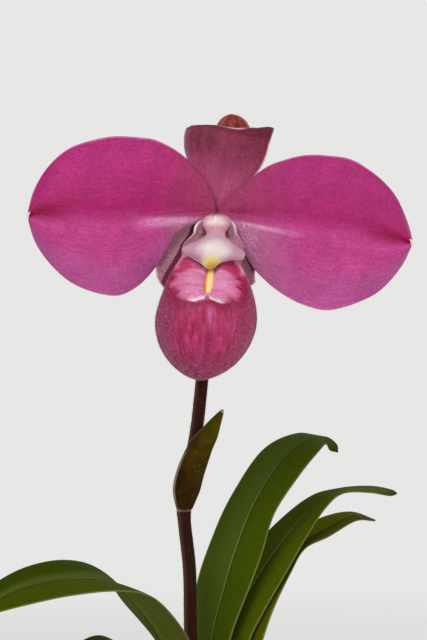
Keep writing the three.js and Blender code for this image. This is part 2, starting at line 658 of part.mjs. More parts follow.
// The claw that carries the slipper: a trough below the column, whose edges stand up as two ears.
const CLAW = {
  middle: [[2.4, -0.4, 241.2], [2.1, -0.3, 239.4], [1.7, -0.7, 237], [1.3, -1.4, 234.4], [1, -1.9, 231.5]],
  radius: [4.3, 6, 7.2, 7.6, 7.4],
  earRise: 3.8,
};

function clawGeometry() {
  const middle = curveThrough(CLAW.middle);
  const radius = profile(CLAW.radius);
  const surface = (u, v) => {
    const turn = degToRad(lerp(96, 70, u)) * v;
    const offset = new THREE.Vector3(Math.sin(turn), Math.cos(turn) - 1, 0).multiplyScalar(radius(u));
    offset.z = CLAW.earRise * (1 - u) ** 1.4 * v * v;
    return middle.getPoint(u).add(offset);
  };
  return sheetSolid({ surface, thickness: LIP_WALL, rows: 10, columns: 8 });
}

const lipGeometry = () => fromManifold(toManifold(slipperGeometry()).add(toManifold(clawGeometry())));

// The yellow crest that stands in the slit.
function crestGeometry() {
  const points = [0.1, 0.3, 0.5, 0.7, 0.9].map((share) => slitPoint(share).addScaledVector(MOUTH_NORMAL, 0.35).toArray());
  const size = profile([0.15, 0.6, 0.8, 0.75, 0.5]);
  return stalkSolid({ points, radius: size, rings: 10, sides: 8 });
}

// ---- column ----
function columnGeometry() {
  const points = [[2.7, -0.1, 245.2], [2.6, -2.8, 244.4], [2.4, -6, 243.2], [2.1, -8.6, 240.9], [2, -9.8, 238.4]];
  const size = profile([2, 2.9, 2.7, 2, 1.2]);
  return stalkSolid({ points, radius: size, rings: 10, sides: 12 });
}

// The shield at the column's end, seen as a wide rhomb: u runs from its left tip to its right tip.
const SHIELD = { left: [-6.9, -11.2, 237], right: [10.7, -11.2, 235.5], up: 3.6, down: 4.8, chin: 0.44 };

function shieldSurface(u, v) {
  const { left, right, up, down, chin } = SHIELD;
  const start = vec(left);
  const along = vec(right).sub(start);
  const toChin = Math.abs(u - chin) / (u < chin ? chin : 1 - chin);
  const top = up * (1 - Math.abs(2 * u - 1) ** 3) ** 0.6;
  const bottom = down * (1 - toChin ** 1.12);
  const reach = (v > 0 ? top : bottom) + 0.35;
  const swell = 2.4 * (1 - (2 * u - 1) ** 2) * (1 - 0.5 * v * v);
  const roll = 0.4 * Math.max(v, 0) ** 2;
  const chinForward = 0.6 * Math.max(-v, 0) ** 2 * Math.exp(-((toChin / 0.4) ** 2));
  return start.addScaledVector(along, u).add(new THREE.Vector3(0, roll - swell - chinForward, reach * v));
}

const staminodeGeometry = () =>
  sheetSolid({ surface: shieldSurface, thickness: 1, rows: 12, columns: 8, roundEnds: true });

function antherGeometry(x, z) {
  const anther = new THREE.SphereGeometry(1, 8, 6);
  return anther.scale(1, 1.3, 1.5).translate(x, -5.2, z);
}

// ---- assembly ----
const group = new THREE.Group();

function add(name, geometry, colour, roughness = 0.6) {
  const mesh = new THREE.Mesh(geometry, new THREE.MeshStandardMaterial({ color: colour, roughness, metalness: 0 }));
  mesh.name = name;
  group.add(mesh);
}

add("pot", potGeometry(), 0xb5653f, 0.9);
add("bark_mix", barkGeometry(fanHole().add(crownSolid(CLEARANCE))), 0x5a3a26, 0.95);
add("rootstock_and_roots", fromManifold(crownSolid()), 0x7a5c3c, 0.9);
for (const [name, leaf] of Object.entries(LEAVES)) add(name, leafGeometry(leaf), 0x4c6420, 0.45);
add("stem", stemGeometry(), 0x4a2a22, 0.6);
for (const [name, bract] of Object.entries(BRACTS)) add(name, bractGeometry(bract), 0x4f4a16, 0.5);
add("ovary", ovaryGeometry(), 0x6a4038, 0.7);
add("bud_pedicel", pedicelGeometry(), 0x5c342c, 0.7);
add("next_bud", budGeometry(), 0x8a4038, 0.7);
add("dorsal_sepal", dorsalSepalGeometry(), 0x933560, 0.6);
add("synsepal", synsepalGeometry(), 0xa0627e, 0.6);
add("petal_left", petalGeometry(PETAL_LEFT), 0xb33578, 0.55);
add("petal_right", petalGeometry(PETAL_RIGHT), 0xb33578, 0.55);
add("lip", lipGeometry(), 0xa83060, 0.5);
add("lip_crest", crestGeometry(), 0xffd27a, 0.5);
add("column", columnGeometry(), 0xe0a8bc, 0.5);
add("staminode", staminodeGeometry(), 0xe8dcd8, 0.5);
add("anther_left", antherGeometry(-1.3, 241.5), 0x8a7a70, 0.6);
add("anther_right", antherGeometry(6, 241.3), 0x8a7a70, 0.6);

export default group;
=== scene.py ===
"""A slipper orchid in bloom in a clay pot of bark: the finished surfaces, built round the CAD part.

Shapes are worked out in millimetres and put into their meshes in metres. +Z is up, the flower
faces -Y, and the origin is the centre of the pot's foot.
"""
import functools
import math

import bpy
import numpy as np
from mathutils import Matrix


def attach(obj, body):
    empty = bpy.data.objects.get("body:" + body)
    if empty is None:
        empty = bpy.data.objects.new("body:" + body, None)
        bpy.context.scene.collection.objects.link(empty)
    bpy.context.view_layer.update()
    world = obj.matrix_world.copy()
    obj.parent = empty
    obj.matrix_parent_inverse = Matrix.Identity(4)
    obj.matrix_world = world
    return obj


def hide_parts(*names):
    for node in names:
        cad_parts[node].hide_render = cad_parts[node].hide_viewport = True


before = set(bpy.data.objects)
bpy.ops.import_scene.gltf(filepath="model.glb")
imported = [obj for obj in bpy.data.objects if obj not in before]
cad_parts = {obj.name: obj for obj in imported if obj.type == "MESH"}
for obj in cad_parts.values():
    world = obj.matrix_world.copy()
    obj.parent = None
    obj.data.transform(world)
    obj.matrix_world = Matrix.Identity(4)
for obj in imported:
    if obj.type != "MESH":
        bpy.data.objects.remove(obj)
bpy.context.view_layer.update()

MM = 0.001
CLEARANCE = 0.35  # gap between pieces that touch


def placed(name, data):
    """A new object of the scene."""
    piece = bpy.data.objects.new(name, data)
    bpy.context.scene.collection.objects.link(piece)
    return piece


# ---- camera and light ----
VIEW_DISTANCE = 750  # from the flower's plane, at Y = 0
VIEW_CENTRE = (1.8, 217.64)  # X and Z at the middle of the view
VIEW_HEIGHT = 177.3  # height of the flower's plane that the view covers


def set_camera():
    """A level camera that looks along +Y, with the focal length that covers VIEW_HEIGHT."""
    camera = placed("camera", bpy.data.cameras.new("camera"))
    camera.data.sensor_width = 36
    camera.data.lens = 36 * VIEW_DISTANCE / VIEW_HEIGHT
    camera.location = (VIEW_CENTRE[0] * MM, -VIEW_DISTANCE * MM, VIEW_CENTRE[1] * MM)
    camera.rotation_euler = (math.pi / 2, 0, 0)
    bpy.context.scene.camera = camera


def soft_light(name, place, aim, size, power):
    """A square white softbox at place, in metres, whose axis points at aim."""
    light = placed(name, bpy.data.lights.new(name, "AREA"))
    light.data.size = size
    light.data.energy = power
    light.location = place
    away = np.subtract(place, aim)
    flat = math.hypot(away[0], away[1])
    light.rotation_euler = (math.atan2(flat, away[2]), 0, math.atan2(away[1], away[0]) + math.pi / 2)


# ---- curves and numbers, for whole arrays ----
def smooth(x, low, high):
    """0 below low, 1 above high, and 3t^2 - 2t^3 between them."""
    t = np.clip((np.asarray(x, float) - low) / (high - low), 0, 1)
    return t * t * (3 - 2 * t)


def bell(x, centre, width):
    """exp(-((x - centre) / width)^2)."""
    return np.exp(-(((x - centre) / width) ** 2))


def unit(vectors):
    """The same directions with a length of 1."""
    return vectors / np.linalg.norm(vectors, axis=-1, keepdims=True)


def square_to(ahead, way):
    """The part of way that is square to each direction ahead, with a length of 1."""
    return unit(way - (ahead @ np.asarray(way, float))[..., None] * ahead)


def turns(sides):
    """The angles of a ring's points, from 0, in radians."""
    return 2 * np.pi * np.arange(sides) / sides


def signed(angle):
    """The same angle between -pi and pi."""
    return np.arctan2(np.sin(angle), np.cos(angle))


def crossed(rows, columns):
    """Two grids: the row's number and the column's number at every crossing."""
    return np.meshgrid(rows, columns, indexing="ij")


def curve_through(points):
    """A Catmull-Rom curve through evenly spaced points, mirrored past both ends, as a function of t
    from 0 to 1."""
    p = np.asarray(points, float)
    p = np.concatenate([[2 * p[0] - p[1]], p, [2 * p[-1] - p[-2]]])

    def place(t):
        k, w = span_and_share(t, len(p) - 3)
        return between(*(p[k + i] for i in range(4)), w if p.ndim == 1 else w[..., None])

    return place


def span_and_share(t, spans):
    """Which of the equal spans from 0 to 1 each t falls in, and how far along it."""
    along = np.clip(np.asarray(t, float), 0, 1) * spans
    k = np.minimum(along.astype(int), spans - 1)
    return k, along - k


def between(a, b, c, d, w):
    """The Catmull-Rom blend from b (w = 0) to c (w = 1), whose slopes follow a and d."""
    return b + w * ((c - a) + w * ((2 * a - 5 * b + 4 * c - d) + w * (3 * b - a - 3 * c + d))) / 2


def patch(rows):
    """A surface through a grid of points, by Catmull-Rom curves: u runs down the rows, and v from -1
    to 1 along each row."""
    columns = [curve_through(column) for column in np.swapaxes(np.asarray(rows, float), 0, 1)]

    def surface(u, v):
        stops = np.stack([column(u) for column in columns], -1)
        before = 2 * stops[..., :1] - stops[..., 1:2]
        after = 2 * stops[..., -1:] - stops[..., -2:-1]
        stops = np.concatenate([before, stops, after], -1)
        k, w = span_and_share((v + 1) / 2, len(columns) - 1)
        near = (np.take_along_axis(stops, (k + i)[..., None, None], -1)[..., 0] for i in range(4))
        return between(*near, w[..., None])

    return surface


def heading(curve, t):
    """The direction of a curve at t, from two points a small step to each side."""
    step = 1e-4
    return unit(curve(np.minimum(t + step, 1)) - curve(np.maximum(t - step, 0)))


def ripples(x, y, seed, waves=7):
    """Soft uneven relief between about -1 and 1: a sum of sine waves of seeded directions and phases."""
    draw = np.random.default_rng(seed)
    turn, phase = draw.uniform(0, 2 * np.pi, (2, waves))
    pitch = draw.uniform(1, 3, waves)
    total = sum(np.sin(p * (x * np.cos(a) + y * np.sin(a)) + b) / p for p, a, b in zip(pitch, turn, phase))
    return total / np.sum(1 / pitch) * 2


# ---- closed skins ----
class Skin:
    """A closed surface: its points in millimetres, its four- and three-sided faces turned outwards,
    and for every point its place on the piece, which the finishes read."""

    def __init__(self, points, quads, tris=(), place=None):
        self.points = np.asarray(points, float).reshape(-1, 3)
        self.quads = np.asarray(quads, int).reshape(-1, 4)
        self.tris = np.asarray(tris, int).reshape(-1, 3)
        self.place = np.zeros_like(self.points) if place is None else np.reshape(place, (-1, 3))
        halves = np.vstack([self.quads[:, :3], self.quads[:, [0, 2, 3]], self.tris])
        a, b, c = self.points[halves].transpose(1, 0, 2)
        if np.einsum("ij,ij->", a, np.cross(b, c)) < 0:
            self.quads, self.tris = self.quads[:, ::-1], self.tris[:, ::-1]


def grid_quads(rows, columns, closed=False):
    """The quads of a grid of points numbered row by row. closed joins the last column to the first."""
    i, j = crossed(np.arange(rows - 1), np.arange(columns if closed else columns - 1))
    a, b = i * columns + j, i * columns + (j + 1) % columns
    return np.stack([a, b, b + columns, a + columns], -1).reshape(-1, 4)


def sheet(surface, thickness, rows, columns, upper=1, relief=None, midrib=None, cosine=False):
    """A closed blade on surface(u, v), u from 0 to 1 and v from -1 to 1.

    Its two faces stand half of thickness(u, v) off the surface, along the cross product of its
    slopes, with relief(u, v) = (upper, under) added, and one row of points between them rounds the
    rim. cosine crowds the rows towards both ends. A point's place is (u, w, face): w is v measured
    from midrib(u), and face is 1 on the upper face, 0 on the under face and a half on the rim.
    """
    u, v = crossed(np.linspace(0, 1, rows), np.linspace(-1, 1, columns))
    if cosine:
        u = (1 - np.cos(np.pi * u)) / 2
    step = 1e-3
    along = unit(surface(np.minimum(u + step, 1), v) - surface(np.maximum(u - step, 0), v))
    across = unit(surface(u, np.minimum(v + step, 1)) - surface(u, np.maximum(v - step, -1)))
    normal = unit(np.cross(across, along)) * upper
    middle, half = surface(u, v), thickness(u, v) / 2
    over, under = (0, 0) if relief is None else relief(u, v)
    face = middle + normal * (half + over)[..., None]
    back = middle - normal * (half + under)[..., None]

    out = np.zeros_like(middle)
    out[0] -= along[0]
    out[-1] += along[-1]
    out[:, 0] -= across[:, 0]
    out[:, -1] += across[:, -1]
    number = np.arange(rows * columns).reshape(rows, columns)
    border = np.concatenate([number[0, :-1], number[:-1, -1], number[-1, :0:-1], number[:0:-1, 0]])
    rim = (face + back).reshape(-1, 3)[border] / 2
    rim = rim + unit(out.reshape(-1, 3)[border]) * half.reshape(-1)[border, None]

    after, total = np.roll(border, -1), rows * columns
    ring = np.arange(len(border)) + 2 * total
    next_ring = np.roll(ring, -1)
    grid = grid_quads(rows, columns)
    quads = np.vstack([
        grid,
        grid[:, ::-1] + total,
        np.stack([after, border, ring, next_ring], -1),
        np.stack([border + total, after + total, next_ring, ring], -1),
    ])
    line = 0 * u if midrib is None else midrib(u)
    w = (v - line) / np.where(v > line, 1 - line, 1 + line)
    flat = np.stack([u, w], -1).reshape(-1, 2)
    place = np.vstack([
        np.column_stack([flat, np.ones(total)]),
        np.column_stack([flat, np.zeros(total)]),
        np.column_stack([flat[border], np.full(len(border), 0.5)]),
    ])
    return Skin(np.vstack([face.reshape(-1, 3), back.reshape(-1, 3), rim]), quads, place=place)


def rings_skin(rings, start, end, place=None):
    """A closed skin over rings of equal size, with a fan to a point at each end."""
    count, sides = rings.shape[:2]
    points = np.vstack([rings.reshape(-1, 3), [start], [end]])
    j = np.arange(sides)
    after, last = (j + 1) % sides, (count - 1) * sides
    tris = np.vstack([
        np.stack([np.full(sides, count * sides), after, j], -1),
        np.stack([np.full(sides, count * sides + 1), last + j, last + after], -1),
    ])
    if place is not None:
        place = np.vstack([place.reshape(-1, 3), place[0].mean(axis=0), place[-1].mean(axis=0)])
    return Skin(points, grid_quads(count, sides, closed=True), tris, place)


def stalk(points, radius, rings, sides, across=(1, 0, 0), dome=0.5):
    """A stalk: at each share t of a path, a ring stands radius(t, angle) out from it, and both ends
    are domed. A point's place is (t, cosine of its angle, sine of its angle)."""
    path = curve_through(points)
    cap = np.linspace(0, np.pi / 2, 6)[1:-1]
    shrink = np.concatenate([np.cos(cap[::-1]), np.ones(rings), np.cos(cap)])
    past = np.concatenate([-np.sin(cap[::-1]), np.zeros(rings), np.sin(cap)]) * dome
    t = np.concatenate([np.zeros(4), np.linspace(0, 1, rings), np.ones(4)])
    ahead = heading(path, t)
    side = square_to(ahead, across)
    other = np.cross(ahead, side)
    share, angle = crossed(t, turns(sides))
    out = radius(share, angle) * shrink[:, None]
    girth = radius(share, angle).mean(axis=1)
    centre = path(t) + ahead * (past * girth)[:, None]
    ring = centre[:, None] + side[:, None] * (out * np.cos(angle))[..., None]
    ring = ring + other[:, None] * (out * np.sin(angle))[..., None]
    place = np.stack([share, np.cos(angle), np.sin(angle)], -1)
    ends = [centre[k] + ahead[k] * way * girth[k] * dome * 0.05 for k, way in ((0, -1), (-1, 1))]
    return rings_skin(ring, *ends, place)


def turned(outline, sides, fillet=0.8, wave=None):
    """A closed solid of revolution about +Z through an outline of radii and heights, whose corners
    are rounded by a quadratic curve that starts fillet away from them."""
    outline = np.asarray(outline, float)
    line = [outline[:1]]
    for before, corner, after in zip(outline[:-2], outline[1:-1], outline[2:]):
        reach = min(fillet, np.linalg.norm(corner - before) * 0.45, np.linalg.norm(after - corner) * 0.45)
        s = np.linspace(0, 1, 5)[:, None]
        start, stop = corner + unit(before - corner) * reach, corner + unit(after - corner) * reach
        line.append((1 - s) ** 2 * start + 2 * s * (1 - s) * corner + s**2 * stop)
    line = np.vstack([*line, outline[-1:]])
    spans = np.maximum(np.linalg.norm(np.diff(line, axis=0), axis=1) / 3, 1).astype(int)
    pieces = [np.linspace(a, b, n, endpoint=False) for a, b, n in zip(line, line[1:], spans)]
    line = np.vstack([*pieces, line[-1:]])[1:-1]
    angle = turns(sides)
    radius = np.repeat(line[:, :1], sides, 1)
    height = np.repeat(line[:, 1:], sides, 1)
    if wave is not None:
        radius = radius + wave(radius, height, angle)
    rings = np.stack([radius * np.cos(angle), radius * np.sin(angle), height], -1)
    start, end = (0, 0, outline[0, 1]), (0, 0, outline[-1, 1])
    return rings_skin(rings, start, end)


HAIR_LEAN = 0.35  # a hair's usual sideways part for each part outwards
HAIR_THICKNESS = 0.045


def hairs(points, outward, length, seed):
    """Fine hairs, one a point: a three-sided spike that leans off the outward direction by a seeded
    amount, is bent once at half its length, and ends in a point."""
    draw = np.random.default_rng(seed)
    count = len(points)
    way = unit(outward + HAIR_LEAN * draw.normal(size=(count, 3)))
    side = unit(np.cross(way, unit(draw.normal(size=(count, 3)))))
    other = np.cross(way, side)
    reach = (length * draw.uniform(0.5, 1.15, count))[:, None]
    bend = side * reach * draw.uniform(-0.18, 0.18, (count, 1))
    angle = turns(3)[:, None]
    girdle = np.cos(angle) * side[:, None] + np.sin(angle) * other[:, None]
    foot = points[:, None] - way[:, None] * 0.08 + girdle * HAIR_THICKNESS / 2
    waist = (points + way * reach * 0.55 + bend)[:, None] + girdle * HAIR_THICKNESS * 0.36
    tip = (points + way * reach)[:, None]
    spike = np.concatenate([foot, waist, tip], axis=1)
    start = np.arange(count)[:, None, None] * 7
    k = np.arange(3)
    after = (k + 1) % 3
    quads = start + np.stack([k, after, after + 3, k + 3], -1)
    tris = start + np.vstack([np.stack([k + 3, after + 3, np.full(3, 6)], -1), [[0, 2, 1]]])
    place = np.broadcast_to(np.repeat([0, 0.55, 1], [3, 3, 1])[None, :, None], spike.shape)
    return Skin(spike, quads, tris, place)


def scatter(skin, count, seed, keep=None):
    """Seeded points on a skin's quads, as many to each as its share of the area, with the way that
    each faces. keep(place, points) gives the chance that a point stays."""
    draw = np.random.default_rng(seed)
    corner = skin.points[skin.quads]
    normal = np.cross(corner[:, 2] - corner[:, 0], corner[:, 3] - corner[:, 1])
    area = np.linalg.norm(normal, axis=1)
    chosen = draw.choice(len(area), count, p=area / area.sum())
    s, t = draw.uniform(size=(2, count, 1))
    weights = np.stack([(1 - s) * (1 - t), s * (1 - t), s * t, (1 - s) * t], 1)
    points = (corner[chosen] * weights).sum(axis=1)
    place = (skin.place[skin.quads[chosen]] * weights).sum(axis=1)
    normals = unit(normal[chosen])
    if keep is not None:
        stays = draw.uniform(size=count) < keep(place, points)
        points, normals = points[stays], normals[stays]
    return points, normals


def joined(name, skins):
    """One mesh of one or more skins, in metres."""
    starts = np.cumsum([0] + [len(skin.points) for skin in skins])
    quads = np.vstack([skin.quads + start for skin, start in zip(skins, starts)])
    tris = np.vstack([skin.tris + start for skin, start in zip(skins, starts)])
    mesh = bpy.data.meshes.new(name)
    mesh.from_pydata(np.vstack([skin.points for skin in skins]) * MM, [], quads.tolist() + tris.tolist())
    return mesh


def make(name, skins, material, slot, node=None):
    """Puts one or more skins into a piece, dresses it, and fixes it to the root body. node is the CAD
    node that the piece stands for."""
    mesh = joined(name, skins)
    mesh.polygons.foreach_set("use_smooth", np.ones(len(mesh.polygons), bool))
    place = mesh.attributes.new("place", "FLOAT_VECTOR", "POINT")
    place.data.foreach_set("vector", np.vstack([skin.place for skin in skins]).ravel())
    mesh.materials.append(material)
    piece = placed(name, mesh)
    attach(piece, "root")
    if node:
        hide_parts(node)
    return piece


def dress(node, skins, material, slot):
    """Makes the piece that stands for the CAD node of that name."""
    return make(node + "_skin", skins, material, slot, node)


# ---- wiring of finishes ----
def tint(red, green, blue):
    """A display colour from 0 to 255 as a linear one with full alpha."""
    c = np.array([red, green, blue]) / 255
    return (*np.where(c <= 0.04045, c / 12.92, ((c + 0.055) / 1.055) ** 2.4), 1)


class Value:
    """What a node puts out. Arithmetic on it adds Math nodes."""

    def __init__(self, wiring, socket):
        self.wiring, self.socket = wiring, socket

    def maths(self, operation, *others):
        """The result of a Math node whose first number is this."""
        return self.wiring.add("Math", enumerate((self, *others)), operation=operation)

    __add__ = functools.partialmethod(maths, "ADD")
    __sub__ = functools.partialmethod(maths, "SUBTRACT")
    __rsub__ = functools.partialmethod(maths, "MULTIPLY_ADD", -1)
    __mul__ = functools.partialmethod(maths, "MULTIPLY")
    __abs__ = functools.partialmethod(maths, "ABSOLUTE")
    most = functools.partialmethod(maths, "MAXIMUM")
    least = functools.partialmethod(maths, "MINIMUM")

    def span(self, low, high, start=0, stop=1):
        """start where this is low, stop where it is high, and smooth between them."""
        inputs = enumerate((self, low, high, start, stop))
        return self.wiring.add("MapRange", inputs, interpolation_type="SMOOTHSTEP")


class Wiring:
    """Adds nodes to one tree. A colour is a Value or a display colour of three numbers."""

    def __init__(self, tree):
        self.tree = tree

    @functools.cached_property
    def here(self):
        """The piece's own coordinates."""
        return self.add("TexCoord", output="Object")

    def node(self, kind, inputs=(), **settings):
        """A node with its settings and inputs. An input given as a Value is joined."""
        made = self.tree.nodes.new(kind if kind.startswith("Node") else "ShaderNode" + kind)
        for name, value in settings.items():
            setattr(made, name, value)
        for key, value in dict(inputs).items():
            if isinstance(value, Value):
                self.tree.links.new(value.socket, made.inputs[key])
            else:
                made.inputs[key].default_value = value
        return made

    def add(self, kind, inputs=(), output=0, **settings):
        """One output of a new node."""
        return Value(self, self.node(kind, inputs, **settings).outputs[output])

    def outputs(self, made):
        """All that a node puts out."""
        return [Value(self, socket) for socket in made.outputs]

    def join(self, name, values):
        """Joins values to the inputs of the tree's own node of that name."""
        for key, value in values.items():
            self.tree.links.new(value.socket, self.tree.nodes[name].inputs[key])

    def split(self, vector):
        """The three numbers of a vector."""
        return self.outputs(self.node("SeparateXYZ", {0: vector}))

    def place(self):
        """The three numbers of the piece's own place attribute."""
        return self.split(self.add("Attribute", output="Vector", attribute_name="place"))

    def stretched(self, share):
        """The piece's own coordinates, with the height multiplied by share."""
        return self.add("Mapping", {0: self.here, 3: (1, 1, share)})

    def noise(self, scale, detail=3, roughness=0.55, vector=None, distortion=0):
        """Soft noise from 0 to 1, on the piece's own coordinates or on another vector."""
        inputs = {"Scale": scale, "Detail": detail, "Roughness": roughness, "Distortion": distortion}
        return self.add("TexNoise", inputs | {"Vector": vector or self.here})

    def cells(self, scale):
        """The distance to the nearest of many scattered points."""
        return self.add("TexVoronoi", {"Vector": self.here, "Scale": scale}, "Distance")

    def mix(self, share, first, second):
        """first where share is 0, second where it is 1, and a blend between them."""
        first, second = (tint(*c) if isinstance(c, tuple) else c for c in (first, second))
        return self.add("Mix", {0: share, 6: first, 7: second}, 2, data_type="RGBA")

    def shade(self, colour, factor):
        """A colour made lighter or darker by a factor round 1."""
        inputs = {0: 1, 6: colour, 7: self.add("CombineColor", {0: factor, 1: factor, 2: factor})}
        return self.add("Mix", inputs, 2, data_type="RGBA", blend_type="MULTIPLY")

    def layers(self, colour, *layers):
        """Lays each layer's share of its colour over what is there. A layer with a number for its
        colour shades what is there by that factor."""
        for share, over in layers:
            if isinstance(over, float):
                over = self.shade(colour, over)
            colour = self.mix(share, colour, over)
        return colour

    def use(self, effect, *values, **named):
        """Places a shared effect, which gets the piece's own coordinates where it has a Position."""
        if "Position" in effect.interface.items_tree:
            values = (self.here, *values)
        made = self.outputs(self.node("Group", dict(enumerate(values)) | named, node_tree=effect))
        return made if len(made) > 1 else made[0]


def effect(name, inputs, outputs):
    """Makes the function below it a shared node group. It is given the wiring and the inputs, and
    gives the outputs. A Position is a vector, a Colour is a colour, and the others are numbers."""

    def build(wire):
        tree = bpy.data.node_groups.new(name, "ShaderNodeTree")
        for way, labels in (("INPUT", inputs), ("OUTPUT", outputs)):
            for label in labels:
                kind = {"Position": "Vector", "Colour": "Color"}.get(label, "Float")
                tree.interface.new_socket(label, in_out=way, socket_type="NodeSocket" + kind)
        w = Wiring(tree)
        given = w.outputs(w.node("NodeGroupInput"))[: len(inputs)]
        w.here = given[0]  # the Position, where the effect has one
        w.node("NodeGroupOutput", enumerate(wire(w, *given)))
        return tree

    return build


def finish(name, wire, relief, *given, **uniform):
    """A material. wire(wiring, *given) gives its colour, roughness and height, and relief is the
    height's full reach in metres. Uniform values go straight onto the shader's sockets."""
    material = bpy.data.materials.new(name)
    material.use_nodes = True
    w = Wiring(material.node_tree)
    for key, value in uniform.items():
        w.tree.nodes["Principled BSDF"].inputs[key.replace("_", " ")].default_value = value
    colour, roughness, height = wire(w, *given)
    normal = w.add("Bump", {"Strength": 1, "Distance": relief, "Height": height})
    w.join("Principled BSDF", {"Base Color": colour, "Roughness": roughness, "Normal": normal})
    return material


def glow(weight, radius, scale=0.0008):
    """Light that goes into a thin organ and comes out again up to scale times radius away."""
    return {"Subsurface_Weight": weight, "Subsurface_Radius": radius, "Subsurface_Scale": scale}


def nap(weight, roughness, *colour):
    """The sheen of fine down."""
    return {"Sheen_Weight": weight, "Sheen_Roughness": roughness, "Sheen_Tint": tint(*colour)}


# ---- effects that several finishes share ----
@effect("velvet cells", ("Position", "Scale", "Contrast"), ("Tone", "Height"))
def VELVET(w, _, scale, contrast):
    """Fine bulging cells, mixed with finer noise: a tone round 1 and a height."""
    height = w.cells(scale) * -0.35 + w.noise(scale * 0.45, 4, 0.7)
    return (height - 0.35) * contrast + 1, height


@effect("veins and streaks", ("Along", "Across", "Count", "Reach", "Waver", "Width"), ("Lines", "Streaks"))
def VEINS(w, along, across, count, reach, waver, width):
    """Lines at equal steps of across, wavered by noise, and streaks drawn out along the piece."""
    stretched = w.add("CombineXYZ", {0: along * reach, 1: across * count})
    lane = across * count + w.noise(0.35, 2, vector=stretched) * waver
    return lane.maths("PINGPONG", 0.5).span(0, width, 1, 0), w.noise(1, 3, 0.6, stretched)


@effect("soft patches", ("Position", "Scale", "Level", "Softness"), ("Mask",))
def PATCHES(w, _, scale, level, softness):
    """Soft blotches: noise pushed towards 0 and 1."""
    return [w.noise(scale, 4, 0.6, distortion=0.4).span(level - softness, level + softness)]


@effect("blade margin", ("Across", "Width"), ("Mask",))
def MARGIN(_, across, width):
    """1 on the outermost width of a blade, falling to 0 over a little more than that width again."""
    return [(1 - abs(across)).span(width, width * 2.2, 1, 0)]


@effect("mineral grain", ("Position", "Scale"), ("Height", "Tone"))
def GRAIN(w, _, scale):
    """Coarse and fine noise with scattered pits: a height and a tone round 1."""
    coarse = w.noise(scale, 5, 0.65)
    return coarse * w.cells(scale * 1.7).span(0.02, 0.28), coarse.span(0.25, 0.75, 0.85, 1.12)


# ---- petals and sepals ----
PETAL_LEFT = {
    "base": (2.3, 1.2, 247.6), "tip": (-49.6, 1.2, 246.6), "sag": 0.15, "upper": 1, "seed": 3,
    "up": [18, 19.3, 20.5, 20.9, 20.9, 20.9, 20.9, 21.2, 21.3, 20.8, 18.8],
    "down": [2.4, 3.8, 5.8, 13.6, 18.9, 21.5, 22, 22, 21.5, 20.5, 18.8],
}
PETAL_RIGHT = {
    "base": (3.5, 1.2, 247.8), "tip": (56.8, 1.2, 239), "sag": 0.06, "upper": -1, "seed": 5,
    "up": [8, 12.8, 16.7, 18.2, 19, 19.6, 20.1, 19.8, 19.1, 17.3, 11.6],
    "down": [3.6, 8.8, 15.3, 18.1, 19.6, 21.1, 22, 22, 21.6, 20.8, 17.2],
}
BLADE_THICKNESS = 0.7


def petal(base, tip, up, down, sag, upper, seed):
    """A petal: from base to tip along a straight axis, reaching up and down from it by a half oval
    times the numbers in up and down. It bows forward by 2.6 sin(pi u^0.8), its margins fall back by
    4.4 v^2 and ripple, and a groove follows the midrib, deepest near the base and the tip."""
    length = np.linalg.norm(np.subtract(tip, base))
    along = np.subtract(tip, base) / length
    forward = np.array([0, -1, 0])
    across = np.cross(forward, along)
    across *= np.sign(across[2])
    above, below = curve_through(up), curve_through(down)

    def midrib(u):
        return -sag * np.sin(np.pi * u) ** 1.5

    def surface(u, v):
        oval = np.sqrt(np.maximum(4 * u * (1 - u), 0))
        reach = np.where(v > 0, above(u), below(u)) * oval + 0.7
        reach *= 1 + 0.005 * np.sin(26 * u + 2 * seed) * np.abs(v) ** 6
        bow = 2.6 * np.sin(np.pi * u**0.8)
        fall = 4.4 * v**2 * smooth(u, 0.06, 0.6) - 0.9 * smooth(-v, 0.1, 0.9) * bell(u, 0.16, 0.14)
        wave = 0.7 * np.sin(9 * u + np.where(v > 0, 0.6, 2.4)) * v**2 * smooth(u, 0.2, 0.5)
        depth = 0.35 + 0.75 * np.exp(-((u / 0.35) ** 2)) + bell(u, 0.97, 0.18)
        groove = depth * bell(v, midrib(u), 0.15) * smooth(u, 0, 0.12) * smooth(v, -0.5, 0.15)
        soft = 0.22 * ripples(5 * u, 3 * v, seed) * smooth(u, 0.05, 0.3)
        place = base + along * (length * u)[..., None] + across * (reach * v)[..., None]
        return place + forward * (bow - fall + wave - groove + soft)[..., None]

    def thickness(u, v):
        return BLADE_THICKNESS * (1.15 - 0.8 * np.abs(v) ** 2.5) * (1 - 0.3 * u)

    def relief(u, v):
        w = v - midrib(u)
        vein = np.abs(np.sin(np.pi * (7 * w + 0.35 * np.sin(5 * u)))) ** 6
        vein = vein * smooth(u, 0, 0.1) * (1 - smooth(u, 0.7, 1))
        keel = 0.5 * bell(w, 0, 0.05) * (1 - smooth(u, 0.6, 1))
        return -0.03 * vein, 0.06 * vein + keel

    return sheet(surface, thickness, 146, 104, upper, relief, midrib, cosine=True)


def petal_tip(base, tip):
    """The small pale point at a petal's tip, folded down along its edge: a short spindle."""
    along = unit(np.subtract(tip, base))
    steps = (-0.5, (0, 0, 1)), (0.1, (0, -0.4, 0.1)), (-0.1, (0, -0.2, -0.9))
    points = [tip + share * along + aside for share, aside in steps]

    def radius(t, angle):
        return 0.1 + 0.3 * np.sin(np.pi * np.clip(t, 0.02, 0.98)) ** 0.8

    made = stalk(points, radius, 14, 14, across=(0, 1, 0))
    made.place[:, 2] = 2
    return made


